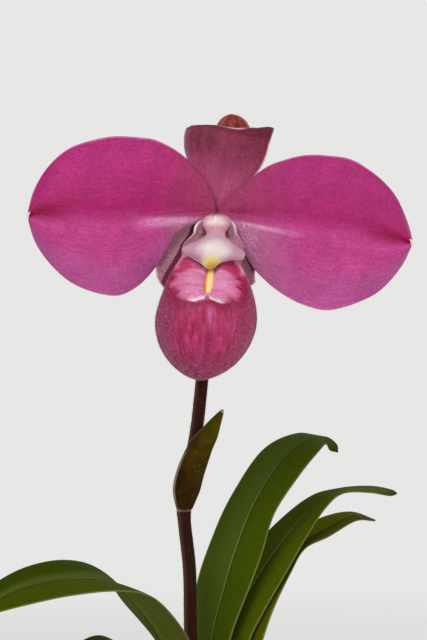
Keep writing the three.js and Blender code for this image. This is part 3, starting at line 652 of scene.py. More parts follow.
def blade(points, width, half_width, fold, curl, sides, relief=None, edge=0.5, shift=None):
    """A blade whose midrib runs along points. width is the way to its second margin and half_width
    its half breadth along it. Each half leaves the midrib at the angle fold(u) above the width line
    and turns by curl(u) on its way out, so it is an arc of that angle. shift(u, v) moves each point."""
    line, half = curve_through(points), curve_through(half_width)

    def surface(u, v):
        ahead = heading(line, u)
        out = square_to(ahead, width)
        normal = np.cross(out, ahead)
        start, turn, share = fold(u), curl(u), np.abs(v)
        turn = np.where(np.abs(turn) < 1e-6, 1e-6, turn)
        reach = half(u) * (np.sin(start + turn * share) - np.sin(start)) / turn
        rise = half(u) * (np.cos(start) - np.cos(start + turn * share)) / turn
        points = line(u) + out * (np.sign(v) * reach)[..., None] + normal * rise[..., None]
        return points if shift is None else points + shift(u, v)

    def taper(u, v):
        return BLADE_THICKNESS * (1 - edge * np.abs(v) ** 3)

    return sheet(surface, taper, *sides, relief=relief)


def ribs(count, over, under, keel):
    """Low relief of parallel veins on both faces of a blade, and a keel under its midrib."""

    def relief(u, v):
        vein = np.cos(np.pi * count * v) ** 8 * (1 - smooth(np.abs(v), 0.8, 1))
        return over * vein, under * vein + keel * bell(v, 0, 0.09) * (1 - smooth(u, 0.75, 1))

    return relief


DORSAL = [
    (2.7, 2.5, 246.6), (3.4, 3.5, 255.5), (4.5, 3.8, 263), (5.4, 3.6, 269.2),
    (5.8, 5, 271.2), (6, 8, 270.8), (6.1, 10.4, 268.4),
]
SYNSEPAL = [
    (2.4, 2.5, 246), (1.7, 3.4, 241), (0.6, 4.4, 235.5), (-0.4, 5.2, 230),
    (-0.6, 5.6, 225), (-0.5, 5.4, 219.5), (-0.4, 4.8, 214),
]


def fold_waves(u, v):
    """The fold across the dorsal sepal isn't level: it dips in the middle of its right half, and its
    corners are drawn out. The blade beneath it is softly hollow."""
    at_fold = bell(u, 0.64, 0.13)
    dip = 0.45 * bell(v, -0.5, 0.4) - 0.75 * bell(v, 0.25, 0.3)
    height = at_fold * (dip - 0.7 * smooth(v, -0.86, -1) + 0.9 * smooth(v, 0.7, 1))
    sideways = at_fold * (0.3 * smooth(v, 0.8, 1) + 0.9 * smooth(v, -0.8, -1)) + 0.5 * smooth(v, -0.2, -1)
    corner = 0.7 * bell(u, 0.64, 0.05) * smooth(v, 0.85, 1)
    height, sideways = height + 0.6 * corner, sideways + corner
    hollow = 0.5 * smooth(u, 0.1, 0.3) * (1 - smooth(u, 0.5, 0.62))
    hollow = hollow * (bell(np.abs(v), 0.5, 0.3) - 0.9 * bell(v, 0, 0.1))
    ripple = 0.18 * ripples(4 * u, 2 * v, 14) * smooth(u, 0.1, 0.3)
    return np.stack([sideways, hollow + ripple, height], -1)


def synsepal_waves(u, v):
    """Soft waves across the synsepal."""
    wave = 0.35 * ripples(3 * u, 3 * v, 9) * smooth(u, 0.05, 0.3)
    return np.stack([0 * u, wave, 0 * u], -1)


dorsal_sepal = blade(
    DORSAL, (1, 0, 0), [1.6, 7.2, 11.2, 12.2, 11.6, 8, 0.8],
    lambda u: np.radians(3) + 0 * u, lambda u: -np.radians(14) * smooth(u, 0.1, 0.5),
    (124, 76), relief=ribs(5, -0.05, 0.05, 0.5), shift=fold_waves,
)
synsepal = blade(
    SYNSEPAL, (-1, 0, 0), [4.6, 9.2, 12, 13, 13.6, 14.3, 12.2, 8, 5.4, 3.4, 0.9],
    lambda u: np.radians(4) * u, lambda u: np.radians(24) * smooth(u, 0.1, 0.5),
    (92, 66), relief=ribs(7, -0.04, 0.06, 0.3), shift=synsepal_waves,
)


def petal_velvet(w, low_top, high_top, bloom_end):
    """Velvet that is paler below the groove than above it, dull and frosted beside the slipper out to
    bloom_end, with fine streaks along the petal. Painted on it too: a light line under the axis, the
    highlight on the groove's lower bank; a dark tip, the shade in its hollow; and darker colour about
    the axis near the base, and along the upper margin there, as shade. The point at its tip, where
    face is 2, is nearly white."""
    (u, v, face), (x, _, z) = w.place(), w.split(w.here)
    tone, bumps = w.use(VELVET, Scale=2300, Contrast=0.85)
    _, fine = w.use(VEINS, u, v, Count=42, Reach=9, Waver=1, Width=0.2)
    veins, streaks = w.use(VEINS, u, v, Count=9, Reach=2.5, Waver=0.8, Width=0.12)
    cloud = w.noise(170, 3, 0.6)
    low = w.mix(v.span(-0.85, -0.3), (180, 78, 144), (182, 58, 130))
    top = w.mix(v.span(0.05, 0.8), low_top, high_top)
    # how far below the axis of either petal, in metres
    aside = x - 0.003
    depth = aside.most(0) * -0.165 + aside.least(0) * 0.019 + 0.2477 - z
    # painted shade: darker about the axis near the base
    near = u.span(0.4, 0.02) * depth.span(0.0026, 0.001)
    bloom = u.span(bloom_end, 0.14) * depth.span(0.0008, 0.0028)
    specks = w.noise(1800, 2, 0.6).span(0.44, 0.62) * u.span(0.3, 0.16, 0, 0.26)
    # painted highlight: a pale fan under the axis near the base, the light on the groove's lower bank
    off = abs(depth - u.span(0.04, 0.34, 0.0019, 0.0027)) * x.span(-0.002, 0.006, 1.1, 2.1)
    fan = off.span(u.span(0.05, 0.4, 0.0002, 0.0007), u.span(0.05, 0.4, 0.0009, 0.0026), 1, 0)
    painted_groove_highlight = u.span(0.04, 0.22) * u.span(0.5, 0.2) * fan * fine.span(0.3, 0.6, 0.4, 0.8)
    # painted shade: a dark patch near the tip, where the petal is hollow
    tip = abs(v - 0.08).span(0.04, 0.3, 1, 0) * u.span(0.66, 0.95)
    # painted shade along the upper margin near the base, beside the dorsal sepal
    crease = w.use(MARGIN, v, Width=0.035) * v.span(0, 0.5) * u.span(0.18, 0.1, 0, 0.4)
    colour = w.layers(
        w.mix((cloud * 0.3 + v - 0.17).span(-0.06, 0.2), low, top),
        (near * 0.85, (146, 48, 86)),
        (bloom * 0.85, (168, 98, 132)),
        (bloom * specks, (222, 180, 200)),
        (painted_groove_highlight * x.span(-0.002, 0.006, 0.85, 0.75), (214, 164, 196)),
        (tip * 0.9, (140, 2, 60)),
        (veins * 0.1, (130, 16, 74)),
        (fine.span(0.5, 0.75) * v.span(0.1, -0.4, 0.08, 0.34), (210, 120, 174)),
        (face.span(0.7, 0.3), w.mix(streaks.span(0.3, 0.7), (160, 78, 124), (184, 112, 150))),
        (w.use(MARGIN, v, Width=0.01) * u.span(0.14, 0.3, 0.1, 0.6), (200, 134, 176)),
        (crease, (94, 22, 50)),
    )
    colour = w.shade(colour, tone * cloud.span(0.3, 0.7, 0.9, 1.1))
    colour = w.mix(face.span(1.4, 1.6), colour, (232, 206, 216))
    return colour, bumps.span(0, 0.6, 0.66, 0.5), bumps + fine * 0.9


def sepal_velvet(w, body, dark, rim, back, base, specks, marks_and_painted_light):
    """Dusky sepals: softly streaked along their length, darker on the midline, with a pale rim.
    marks_and_painted_light(wiring, u, v) gives the layers that only one of them has on its upper face,
    which paint shade, shadows and highlights besides its own colour, and the rim's strength, which on
    the dorsal sepal also paints a highlight."""
    u, v, face = w.place()
    tone, bumps = w.use(VELVET, Scale=2100, Contrast=0.7)
    veins, streaks = w.use(VEINS, u, v, Count=5, Reach=1.6, Waver=0.9, Width=0.2)
    level = w.noise(150, 3, 0.6) * 0.6 + streaks * 0.4 + abs(v) * u * -0.42
    own_layers, rim_and_highlight_share = marks_and_painted_light(w, u, v)
    colour = w.layers(
        w.mix(level.span(0.22, 0.64), dark, body),
        (w.noise(2200, 2, 0.7).span(0.5, 0.66, 0, specks), rim),
        (u.span(0.44, 0.06, 0, 0.9), base),
        (abs(v).span(0.01, 0.1, 0.25, 0), dark),
        (veins * 0.12, dark),
        *own_layers,
        (face.span(0.7, 0.3), w.mix(streaks.span(0.35, 0.65), back, body)),
        (w.use(MARGIN, v, Width=0.012) * rim_and_highlight_share, rim),
    )
    return w.shade(colour, tone), bumps.span(0, 0.6, 0.68, 0.54), bumps + streaks


def dorsal_marks_and_painted_light(_, u, v):
    """Painted shade: a dark band under the fold. Painted highlights: a pale line at the fold over its
    middle, and a bright line up the lower right margin. Its own colour: a lilac left side."""
    line = u.span(0.665, 0.68) * u.span(0.74, 0.72) * abs(v + 0.14).span(0.66, 0.42)
    layers = [
        # painted shade under the fold, and a painted highlight along the fold's edge
        (u.span(0.5, 0.63) * u.span(0.7, 0.66) * 0.7, (88, 14, 42)),
        (line, (214, 150, 166)),
        (v.span(-0.8, -0.98, 0, 0.3), (164, 100, 132)),
    ]
    # the rim, made brighter up the lower right margin as a painted highlight
    return layers, v.span(-0.2, 0.2, 0.3, 0.95) * u.span(0.1, 0.25) * u.span(0.54, 0.44, 0.15, 1)


def synsepal_painted_shadows(w, *_):
    """Painted shadows in maroon: the slipper's, whose edge runs down and out to the left, and the right
    petal's, over the right shoulder.
    """
    x, _, z = w.split(w.here)
    # painted shadow of the slipper
    past = (0.2449 - z) * 0.5576 + x + 0.0036 + (w.noise(260, 2) - 0.5) * 0.0016
    pouch_shadow = past.span(-0.0002, 0.0002) * x.span(0.006, 0.004)
    # painted shadow of the right petal
    beyond = (z - 0.2343) * 0.457 + x - 0.0111
    shoulder = beyond.span(-0.0002, 0.0003).most(z.span(0.236, 0.237) * x.span(0.004, 0.006))
    return [(pouch_shadow, (122, 50, 74)), (shoulder, (116, 46, 70))], 0.75


PETAL_LOOK = glow(0.1, (1, 0.3, 0.5)) | nap(0.14, 0.4, 236, 170, 215) | {"Specular_IOR_Level": 0.2}
SEPAL_LOOK = glow(0.08, (1, 0.35, 0.45)) | nap(0.14, 0.4, 236, 190, 210) | {"Specular_IOR_Level": 0.2}
for side, shape, tones in (
    ("left", PETAL_LEFT, ((160, 14, 92), (168, 28, 108), 0.36)),
    ("right", PETAL_RIGHT, ((159, 24, 94), (164, 38, 108), 0.5)),
):
    velvet = finish(side + " petal velvet", petal_velvet, 0.00006, *tones, **PETAL_LOOK)
    dress("petal_" + side, [petal(**shape), petal_tip(shape["base"], shape["tip"])], velvet, "petal")
DORSAL_TONES = (138, 42, 76), (98, 26, 48), (228, 178, 196), (150, 78, 84), (178, 72, 120), 0.05
# the synsepal's tones are light, lightest at its base, as painted light against the shade of the petals and the
# slipper
SYNSEPAL_TONES = (228, 166, 188), (190, 122, 148), (236, 202, 214), (158, 104, 106), (238, 188, 204), 0.6
for name, skin, tones, marks_and_painted_light in (
    ("dorsal sepal", dorsal_sepal, DORSAL_TONES, dorsal_marks_and_painted_light),
    ("synsepal", synsepal, SYNSEPAL_TONES, synsepal_painted_shadows),
):
    velvet = finish(name, sepal_velvet, 0.00006, *tones, marks_and_painted_light, **SEPAL_LOOK)
    dress(name.replace(" ", "_"), [skin], velvet, "sepal")


# ---- lip ----
LIP_BOTTOM = 201.15  # height of the slipper's toe
LIP_WALL = 0.8
LIP_BELLY_HEIGHT = 16.6  # above the toe, where the slipper is widest
LIP_BELLY = 13.9  # half its width there
LIP_DEPTH_SHARE = 0.88
LIP_CENTRE_Y = -10.2
MOUTH_FRONT = (-21.5, 22.45)  # y, and height above the toe, of the mouth's front rim
MOUTH_SLOPE = 0.7
FURROW = 0.07  # turn, in radians, from the middle of the front to the slipper's furrow
MOUTH_NORMAL = unit(np.array([0, -MOUTH_SLOPE, 1]))
SLIT_HALF_WIDTH = 0.55


def lip_wall(angle, height):
    """The slipper's outer wall, an oval at each height above the toe. Its half width is the belly's
    times (1 - d^2)^0.62 below the belly, and narrows slowly above it; angle 0 is the front."""
    below = np.clip((LIP_BELLY_HEIGHT - height) / LIP_BELLY_HEIGHT, 0, 1)
    above = np.clip((height - LIP_BELLY_HEIGHT) / 16.5, 0, None)
    half = LIP_BELLY * np.where(height < LIP_BELLY_HEIGHT, (1 - below**2) ** 0.62, 1 - 0.42 * above**1.6)
    x = -1 + 0.045 * height - 0.7 * below**3 + half * np.sin(angle)
    y = LIP_CENTRE_Y - 1.5 * below - LIP_DEPTH_SHARE * half * np.cos(angle)
    return np.stack([x, y, LIP_BOTTOM + height + 0 * angle], -1)


def rim_height(angle):
    """The mouth's rim: where the wall meets a sloping plane. It dips on both sides of the middle of
    its front and at its lower corners, most on the right, and rises in two shoulders beside the
    column."""
    turn = signed(angle)
    height = np.full_like(angle, MOUTH_FRONT[1])
    for _ in range(30):
        plane = MOUTH_FRONT[1] + (lip_wall(angle, height)[..., 1] - MOUTH_FRONT[0]) * MOUTH_SLOPE
        height = 0.4 * height + 0.6 * plane
    dips = 1.3 * bell(turn, -0.3, 0.2) + 2.1 * bell(turn, 0.36, 0.24) + 1.2 * smooth(np.abs(turn), 0.5, 1.2)
    corners = 1.5 * bell(turn, -0.66, 0.25) + 3.0 * bell(turn, 0.82, 0.27)
    shoulders = 4.2 * bell(np.abs(turn), 1.95, 0.3) + 0.25 * np.sin(17 * turn) * bell(np.abs(turn), 1.8, 0.3)
    return height - dips - corners + shoulders


def slit_point(share):
    """The line between the folded margins, from the front (0) to the back (1)."""
    ends = [lip_wall(a, rim_height(a)) for a in (np.array(0.0), np.array(np.pi))]
    share = 0.08 + 0.78 * np.asarray(share, float)[..., None]
    return ends[0] * (1 - share) + ends[1] * share - 0.1 * MOUTH_NORMAL + share * [1.1, 0, 0]


def lobe_point(angle, share):
    """The folded margin, from the rim (0) to the edge of the slit (1), swollen between them."""
    rim = lip_wall(angle, rim_height(angle))
    edge = slit_point((1 - np.cos(angle)) / 2)
    edge = edge + np.stack([SLIT_HALF_WIDTH * np.sin(angle), 0 * angle, 0 * angle], -1)
    swell = 1.5 * np.sin(np.pi * np.clip(share, 0, 1)) ** 0.8
    crease = 0.26 * np.sin(19 * angle + 3 * np.sin(3 * angle))
    crease = crease * bell(share, 0.25, 0.3) * smooth(share, 0, 0.1)
    share = np.asarray(share)[..., None]
    return rim * (1 - share) + edge * share + MOUTH_NORMAL * (swell + crease)[..., None]


def slipper():
    """The pouch: rings up the outer wall, over the rim, in along the folded margins to the slit, and
    back down the inside. A point's place is (its angle over pi, its way along that path, 0), and the
    way is 0 to 1 on the wall, 1 to 2 on the folded margins, and 2 to 4 inside."""
    sides = 200
    angle = turns(sides)
    centre = np.array([-0.2, LIP_CENTRE_Y, LIP_BOTTOM + LIP_BELLY_HEIGHT])
    inner = 1 - LIP_WALL / 12.5

    def wall(share, swell=1):
        s, a = crossed(share, angle)
        points = lip_wall(a, rim_height(a) * (1 - np.cos(s * np.pi / 2)))
        fold = 0.12 * np.sin(13 * a + 1.5 * np.sin(4 * s)) + 0.1 * np.sin(29 * a + 5 * s)
        fold = (fold + 0.16 * ripples(2 * a, 4 * s, 8)) * smooth(s, 0.1, 0.4) * (1 - smooth(s, 0.8, 1))
        furrow = 0.22 * bell(signed(a), FURROW, 0.06)
        furrow = furrow * smooth(s, 0.1, 0.3) * (1 - smooth(s, 0.75, 0.95))
        away = unit(points - centre)
        return points + away * ((fold - furrow) * swell)[..., None]

    def lobe(share, sink):
        s, a = crossed(share, angle)
        return lobe_point(a, s) - sink * MOUTH_NORMAL

    up = np.linspace(0.015, 0.985, 60)
    over = 1 - (1 - np.linspace(0, 1, 40)) ** 1.15
    back = np.linspace(1, 0.2, 9)
    down = np.linspace(0.9, 0.1, 14)
    inside = (wall(down, 0) - centre) * inner + centre
    rings = np.vstack([wall(up), lobe(over, 0), lobe(back, LIP_WALL), inside])
    way = np.concatenate([up, 1 + over, 3 - back, 4 - down])
    place = np.stack(np.broadcast_arrays(signed(angle) / np.pi, way[:, None], 0), -1)
    toe = lip_wall(0.0, np.array(0.0))
    return rings_skin(rings, toe, (toe - centre) * inner + centre, place)


# Half a cross-section of the claw at each height, from the middle of its back to its side, over the
# pale rim of the ear, and in to the column. The first number of each later point is its reach from
# the middle.
CLAW = [
    (2.55, 0.2, 244.4, 1.6, 0, 244.5, 3, -1.3, 244.8, 3.4, -3.4, 245.1, 3, -4.2, 244.9, 2.2, -4.6, 244.5),
    (2.4, 0.3, 243.6, 2.2, -0.2, 243.7, 4.1, -1.9, 244, 4.6, -4.3, 244.3, 3.7, -4.6, 243.9, 2.4, -5.2, 243.5),
    (2.3, 0.1, 242.8, 2.8, -0.5, 242.9, 4.9, -2.3, 243.1, 5.4, -4.9, 243.2, 4.1, -4.8, 242.9, 2.4, -5.8, 242.4),
    (2.25, 0, 241.2, 3.2, -0.6, 241.2, 5.3, -2.5, 241.3, 5.8, -5.6, 241.3, 4.6, -5.4, 241, 2.3, -6.9, 240.7),
    (2, -0.2, 239.8, 3.8, -0.9, 239.8, 6, -3, 239.8, 6.9, -7, 239.9, 5.8, -6.8, 239.6, 3.1, -7.9, 239.4),
    (1.7, -0.5, 238, 4.2, -1.2, 238, 6.9, -3.4, 238, 8, -8, 238.2, 7.4, -8.2, 237.9, 6.6, -8, 237.7),
    (1.5, -0.9, 235.8, 4.4, -1.6, 235.8, 7.2, -3.8, 235.8, 8.2, -7.4, 235.8, 7.7, -8, 235.6, 7.2, -8, 235.5),
    (1.2, -1.5, 233.6, 4.3, -2.1, 233.6, 7, -4, 233.6, 7.9, -6.6, 233.6, 7.6, -7.2, 233.5, 7.2, -7.3, 233.4),
    (1, -1.9, 231.5, 4.2, -2.4, 231.5, 6.8, -4.2, 231.5, 7.6, -6.4, 231.5, 7.4, -6.8, 231.4, 7.1, -6.9, 231.3),
]


def claw():
    """The trough that carries the slipper, and its two ears: a patch over both halves of CLAW. A
    point's place is (its share of the way across, its share of the way down, 1)."""
    rows = []
    for middle, *half in np.reshape(CLAW, (len(CLAW), -1, 3)):
        beside = np.array([middle[0], 0, 0])
        rows.append(np.vstack([half[::-1] * np.array([-1, 1, 1]) + beside, middle, half + beside]))

    def thickness(u, v):
        across = np.abs(v)
        return 0.5 + 0.24 * bell(across, 0.6, 0.1) * (1 - smooth(u, 0.2, 0.6)) - 0.15 * smooth(across, 0.8, 1)

    def relief(u, v):
        return 0.04 * np.cos(44 * v + 6 * u) * bell(np.abs(v), 0.8, 0.15), 0.03 * np.cos(30 * v) ** 2

    made = sheet(patch(rows), thickness, 64, 112, relief=relief)
    made.place = np.column_stack([made.place[:, 1], made.place[:, 0], np.ones(len(made.place))])
    return made


def lip_velvet(w):
    """The slipper, whose colours go by its turn from the front and by its way up the wall and in
    along the folded margins, and the claw with its ears, where the place's third number is 1."""
    (turn, way, kind), (x, _, z) = w.place(), w.split(w.here)
    angle = abs(turn)
    tone, bumps = w.use(VELVET, Scale=2100, Contrast=0.9)
    veins, streaks = w.use(VEINS, way, turn, Count=30, Reach=5.5, Waver=0.9, Width=0.16)
    ray_lines, rays = w.use(VEINS, way, turn, Count=15, Reach=1.3, Waver=1, Width=0.2)
    _, fine = w.use(VEINS, way, turn, Count=64, Reach=8, Waver=1, Width=0.2)
    cloud = w.noise(230, 3, 0.6)

    # outer wall
    off_furrow = abs(turn - FURROW / math.pi)
    off_light = abs(turn - 1.5 * FURROW / math.pi)
    light = off_light.span(0.045, 0.01) * way.span(0.72, 0.88) * streaks.span(0.35, 0.6, 0.3, 1)
    low = way.span(0.72, 0.25).most(angle.span(0.08, 0.38, 0, 0.85))
    frost = low * w.noise(1900, 2, 0.8).span(0.5, 0.6)
    wall = w.layers(
        w.mix((cloud * 0.5 + streaks * 0.5).span(0.34, 0.66), (146, 16, 66), (180, 46, 104)),
        (veins * 0.12, (112, 14, 50)),
        (fine.span(0.46, 0.3, 0, 0.25), (122, 10, 54)),
        (fine.span(0.54, 0.7, 0, 0.45), (206, 90, 146)),
        (off_furrow.span(0.004, 0.04, 0.6, 0) * way.span(0.9, 0.7), (124, 12, 46)),
        (light * way.span(0.99, 0.93, 0, 0.8), (200, 100, 148)),
        (streaks.span(0.55, 0.72) * way.span(0.25, 0.5) * way.span(0.92, 0.7, 0, 0.5), (198, 80, 142)),
        (angle.span(0.16, 0.5, 0, 0.6), (140, 60, 94)),
        (low * 0.8, w.mix(turn.span(-0.1, 0.1), (120, 24, 66), (142, 32, 78))),
        (frost * way.span(0.6, 0.3, 0.4, 0.65), (206, 126, 170)),
        (way.span(0.88, 1, 0, 0.8), (130, 14, 56)),
    )

    # folded margins: a crimson ring that reaches in as fingers, and a pink middle
    inward = way - 1
    ragged = (rays - 0.5) * 0.8
    reach = angle.span(0.5, 0.62) * 0.42 + angle.span(0.15, 0.45, 0.12, 0.22)
    depth = inward + ragged - reach * turn.span(-0.08, 0.12, 0.55, 1.15)
    # the crimson under the staminode, whose lower edge falls away on both sides
    brink = (x + 0.0008).least(0) * 0.224 + (x - 0.003).most(0) * -0.58 + 0.2321
    above = ragged * 0.004 + z - brink
    mottled = (cloud * 0.5 + rays * 0.5).span(0.4, 0.66, 1, 0.6)
    white = inward.span(0, 0.03) * inward.span(0.34, 0.05) * turn.span(-0.02, 0.06, 1, 0.8)
    along = angle + turn.span(-0.1, 0.1, 0, 0.06)
    shoulder = along.span(0.49, 0.55) * along.span(0.74, 0.68)
    uneven = w.noise(480, 2) * 0.5 + inward - 0.1
    # painted on the slit's edges against the shade in the slit: orange shade on the left, pink light on the
    # right
    slit_painted_light = w.mix(turn.span(-0.02, 0.02), (240, 150, 110), (240, 170, 180))
    lobe = w.layers(
        w.mix(depth.span(-0.14, 0.1), (152, 18, 66), (204, 104, 152)),
        (depth.span(0, 0.5) * rays.span(0.25, 0.7, 0.15, 1), (228, 150, 190)),
        (ray_lines * 0.16, (182, 66, 122)),
        (above.span(-0.0005, 0.0006) * mottled, (174, 34, 86)),
        (white * angle.span(0.008, 0.03) * angle.span(0.16, 0.085), (238, 214, 226)),
        (angle.span(0.016, 0.006) * inward.span(0.3, 0.1) * 0.8, (140, 100, 96)),
        (shoulder * uneven.span(0.36, 0.16, 0, 0.9), (214, 150, 176)),
        (inward.span(0.88, 0.98) * angle.span(0.95, 0.85), slit_painted_light),
    )

    # claw, with its two ears
    rim = angle.span(0.55, 0.6) * angle.span(0.68, 0.63) * way.span(0.14, 0.45, 1, 0.3)
    dots = w.noise(2300, 2, 0.7).span(0.5, 0.62, 0, 0.4)
    ear = w.layers(
        w.mix(angle.span(0.4, 0.56), (136, 80, 96), (164, 112, 130)),
        (rim * x.span(0, 0.004, 1, 0.7), (246, 228, 232)),
        (angle.span(0.68, 0.82), (152, 100, 114)),
        (dots * way.span(0.2, 0.4), (214, 176, 188)),
        # painted shade: the dark hollow beside the column at the top of each ear
        (angle.span(0.76, 0.88) * way.span(0.5, 0.34), (122, 60, 78)),
        (way.span(0.4, 0.6) * angle.span(0.3, 0.5), (172, 112, 132)),
    )

    colour = w.layers(wall, (way.span(0.985, 1), lobe), (way.span(2.02, 2.2), (190, 104, 130)))
    calm = tone.span(0.6, 1.4, 0.86, 1.14)
    colour = w.mix(way.span(0.95, 1.3), w.shade(colour, tone), w.shade(colour, calm))
    rough = bumps.span(0, 0.6, 0.6, 0.44) - kind * way.span(0.6, 0.4) * 0.28
    return w.mix(kind, colour, w.shade(ear, calm)), rough, (bumps + streaks * 1.4) * (1 - kind * 0.6)


def crest():
    """The yellow crest in the slit: a spindle that follows it, flattened from side to side."""
    points = slit_point(np.array([-0.05, 0.22, 0.48, 0.76, 1.05])) + 0.25 * MOUTH_NORMAL
    size = curve_through([0.25, 0.85, 1.12, 1.15, 1.05, 1.05, 1.1])
    return stalk(points, lambda t, a: size(t) * (1 + 0.05 * np.sin(3 * a + 7 * t)), 60, 36)


def crest_wax(w):
    """Yellow, with painted shade in orange down its left side, and painted light that makes it paler on
    its right and towards the back, under the staminode.
    """
    t, cosine, _ = w.place()
    tone, bumps = w.use(VELVET, Scale=3600, Contrast=0.2)
    colour = w.layers(
        # painted shade in orange down the left side, and painted light on the right
        w.mix(cosine.span(-0.25, -0.9), (255, 222, 140), (220, 128, 58)),
        (cosine.span(0.35, 0.9, 0, 0.7), (255, 232, 190)),
        # painted light towards the back, against the staminode's shadow
        (t.span(0.66, 0.88), (255, 232, 222)),
        (t.span(0.1, 0), (240, 180, 130)),
    )
    return w.shade(colour, tone), bumps.span(0, 0.6, 0.5, 0.32), bumps


slipper_skin = slipper()
LIP_LOOK = glow(0.12, (1, 0.3, 0.45)) | nap(0.3, 0.25, 240, 190, 220)
LIP_FINISH = finish("lip", lip_velvet, 0.00007, **LIP_LOOK, Specular_IOR_Level=0.25)
CREST_FINISH = finish("crest", crest_wax, 0.00003, **glow(0.15, (1, 0.6, 0.2), 0.001))
dress("lip", [slipper_skin, claw()], LIP_FINISH, "lip")
dress("lip_crest", [crest()], CREST_FINISH, "crest")


# ---- column, staminode and anthers ----
COLUMN = [
    (2.7, 0.1, 245.1), (2.65, -2.6, 244.7), (2.5, -5.6, 243.7),
    (2.45, -8.3, 241.9), (2.35, -10.9, 240.4), (2, -12, 238.8),
]
COLUMN_HALF_WIDTH = [3.2, 4, 3.7, 2.7, 2.75, 4]
COLUMN_HALF_DEPTH = [2.4, 2.3, 2.3, 1.9, 1.25, 0.7]
SHIELD_TIPS = (-6.5, -11.2, 236.85), (10.15, -11.2, 235.3)
SHIELD_ABOVE = [0.3, 1.4, 2.1, 3.0, 3.7, 4.1, 4.2, 3.9, 2.9, 1.7, 0.9]
SHIELD_BELOW = [0.8, 1.4, 2.2, 3.1, 4.35, 4.0, 2.5, 1.8, 1.35, 1.1, 0.9]


def column():
    """The column: a stalk of oval rings, broad under its cap, narrow at its neck, and flared where it
    runs into the shield."""
    wide, deep = curve_through(COLUMN_HALF_WIDTH), curve_through(COLUMN_HALF_DEPTH)

    def radius(t, angle):
        oval = 1 / np.hypot(np.cos(angle) / wide(t), np.sin(angle) / deep(t))
        keel = 0.22 * bell(np.cos(angle), 0, 0.09) * bell(t, 0.3, 0.13)
        uneven = 0.02 * np.cos(3 * angle) * smooth(t, 0.1, 0.4) + 0.015 * ripples(6 * t, 2 * np.cos(angle), 6)
        return oval * (1 + uneven) + keel

    return stalk(COLUMN, radius, 84, 64)


def shield(u, v):
    """The staminode, a wide rhomb from its left tip (u = 0) to its right tip: the lists give its
    reach above and below the line between the tips, both rounded off there, and its middle swells."""
    left, right = np.array(SHIELD_TIPS)
    above, below = curve_through(SHIELD_ABOVE), curve_through(SHIELD_BELOW)
    ends = np.sqrt(1 - (1 - np.clip(np.minimum(u, 1 - u) / 0.05, 0, 1)) ** 2)
    reach = np.where(v > 0, above(u), below(u)) * ends + 0.12
    swell = 2.4 * (1 - (2 * u - 1) ** 2) * (1 - 0.5 * v**2)
    forward = 0.6 * np.maximum(-v, 0) ** 2 * bell(u, 0.42, 0.18)
    back = 0.4 * np.maximum(v, 0) ** 2 - swell - forward
    place = left + (right - left) * u[..., None]
    return place + np.stack([0 * u, back, reach * v], -1)


def staminode():
    """The shield as a closed blade, thinner at its margins, with a pillow behind its middle."""

    def thickness(u, v):
        return 1 - 0.35 * np.abs(v) ** 4

    def relief(u, v):
        return 0 * u, 0.3 * (1 - v**2) * (1 - (2 * u - 1) ** 2)

    return sheet(shield, thickness, 84, 62, relief=relief, cosine=True)


def anther(x, z):
    """A pollen mass: an egg of half-sizes 1, 1.3 and 1.5, with a shallow seam down its front."""

    def radius(t, angle):
        egg = np.sqrt(np.maximum(1 - (2 * t - 1) ** 2, 0.02))
        return egg * (1.1 - 0.1 * bell(np.cos(angle), -1, 0.2))

    return stalk([(x, -5.2, z - 1.4), (x, -5.3, z), (x, -5.2, z + 1.4)], radius, 28, 32, dome=0.1)


def from_oval(x, z, centre, per_metre):
    """How far a point is from an oval's centre: 1 at its edge. per_metre is 1 over its half-sizes."""
    aside, above = (x - centre[0]) * per_metre[0], (z - centre[1]) * per_metre[1]
    return (aside * aside + above * above).maths("SQRT")


@effect("column flush", ("Position",), ("Colour",))
def FLUSH(w, position):
    """The colours where the column runs into the staminode, by place alone: a white cap, a pink neck,
    lilac sides, and a white middle."""
    x, _, z = w.split(position)
    crown = w.noise(500, 2, 0.5) * 0.0012 + z
    ragged = w.noise(300, 2, 0.5) * 0.3 + from_oval(x, z, (0.0021, 0.2366), (200, 275))
    colour = w.layers(
        w.mix(abs(x - 0.0022).span(0.0014, 0.0036), (236, 212, 212), (218, 172, 178)),
        (z.span(0.2445, 0.2428), (204, 138, 157)),
        (crown.span(0.2464, 0.2478), (156, 62, 96)),
        (z.span(0.2416, 0.2402), (184, 138, 160)),
        (ragged.span(1.4, 0.45), (220, 205, 206)),
    )
    return [colour]


def column_wax(w):
    """The flush, with soft pink patches, pale streaks, and a painted highlight in white along the keel
    on the cap.
    """
    (t, _, _), (x, _, z) = w.place(), w.split(w.here)
    tone, bumps = w.use(VELVET, Scale=2600, Contrast=0.2)
    streaks = w.noise(1100, 2, 0.6, w.stretched(0.15))
    # painted highlight: a white line along the keel on the cap
    keel = abs(x - 0.0023).span(0.0001, 0.0005, 0.7, 0) * z.span(0.2441, 0.2448) * z.span(0.2468, 0.2462)
    colour = w.layers(
        w.use(FLUSH),
        (w.use(PATCHES, Scale=420, Level=0.5, Softness=0.16) * 0.2, (214, 156, 172)),
        (streaks.span(0.5, 0.7, 0, 0.35), (236, 198, 206)),
        (keel, (250, 240, 240)),
    )
    return w.shade(colour, tone), t.span(0.45, 0.75, 0.2, 0.42), bumps


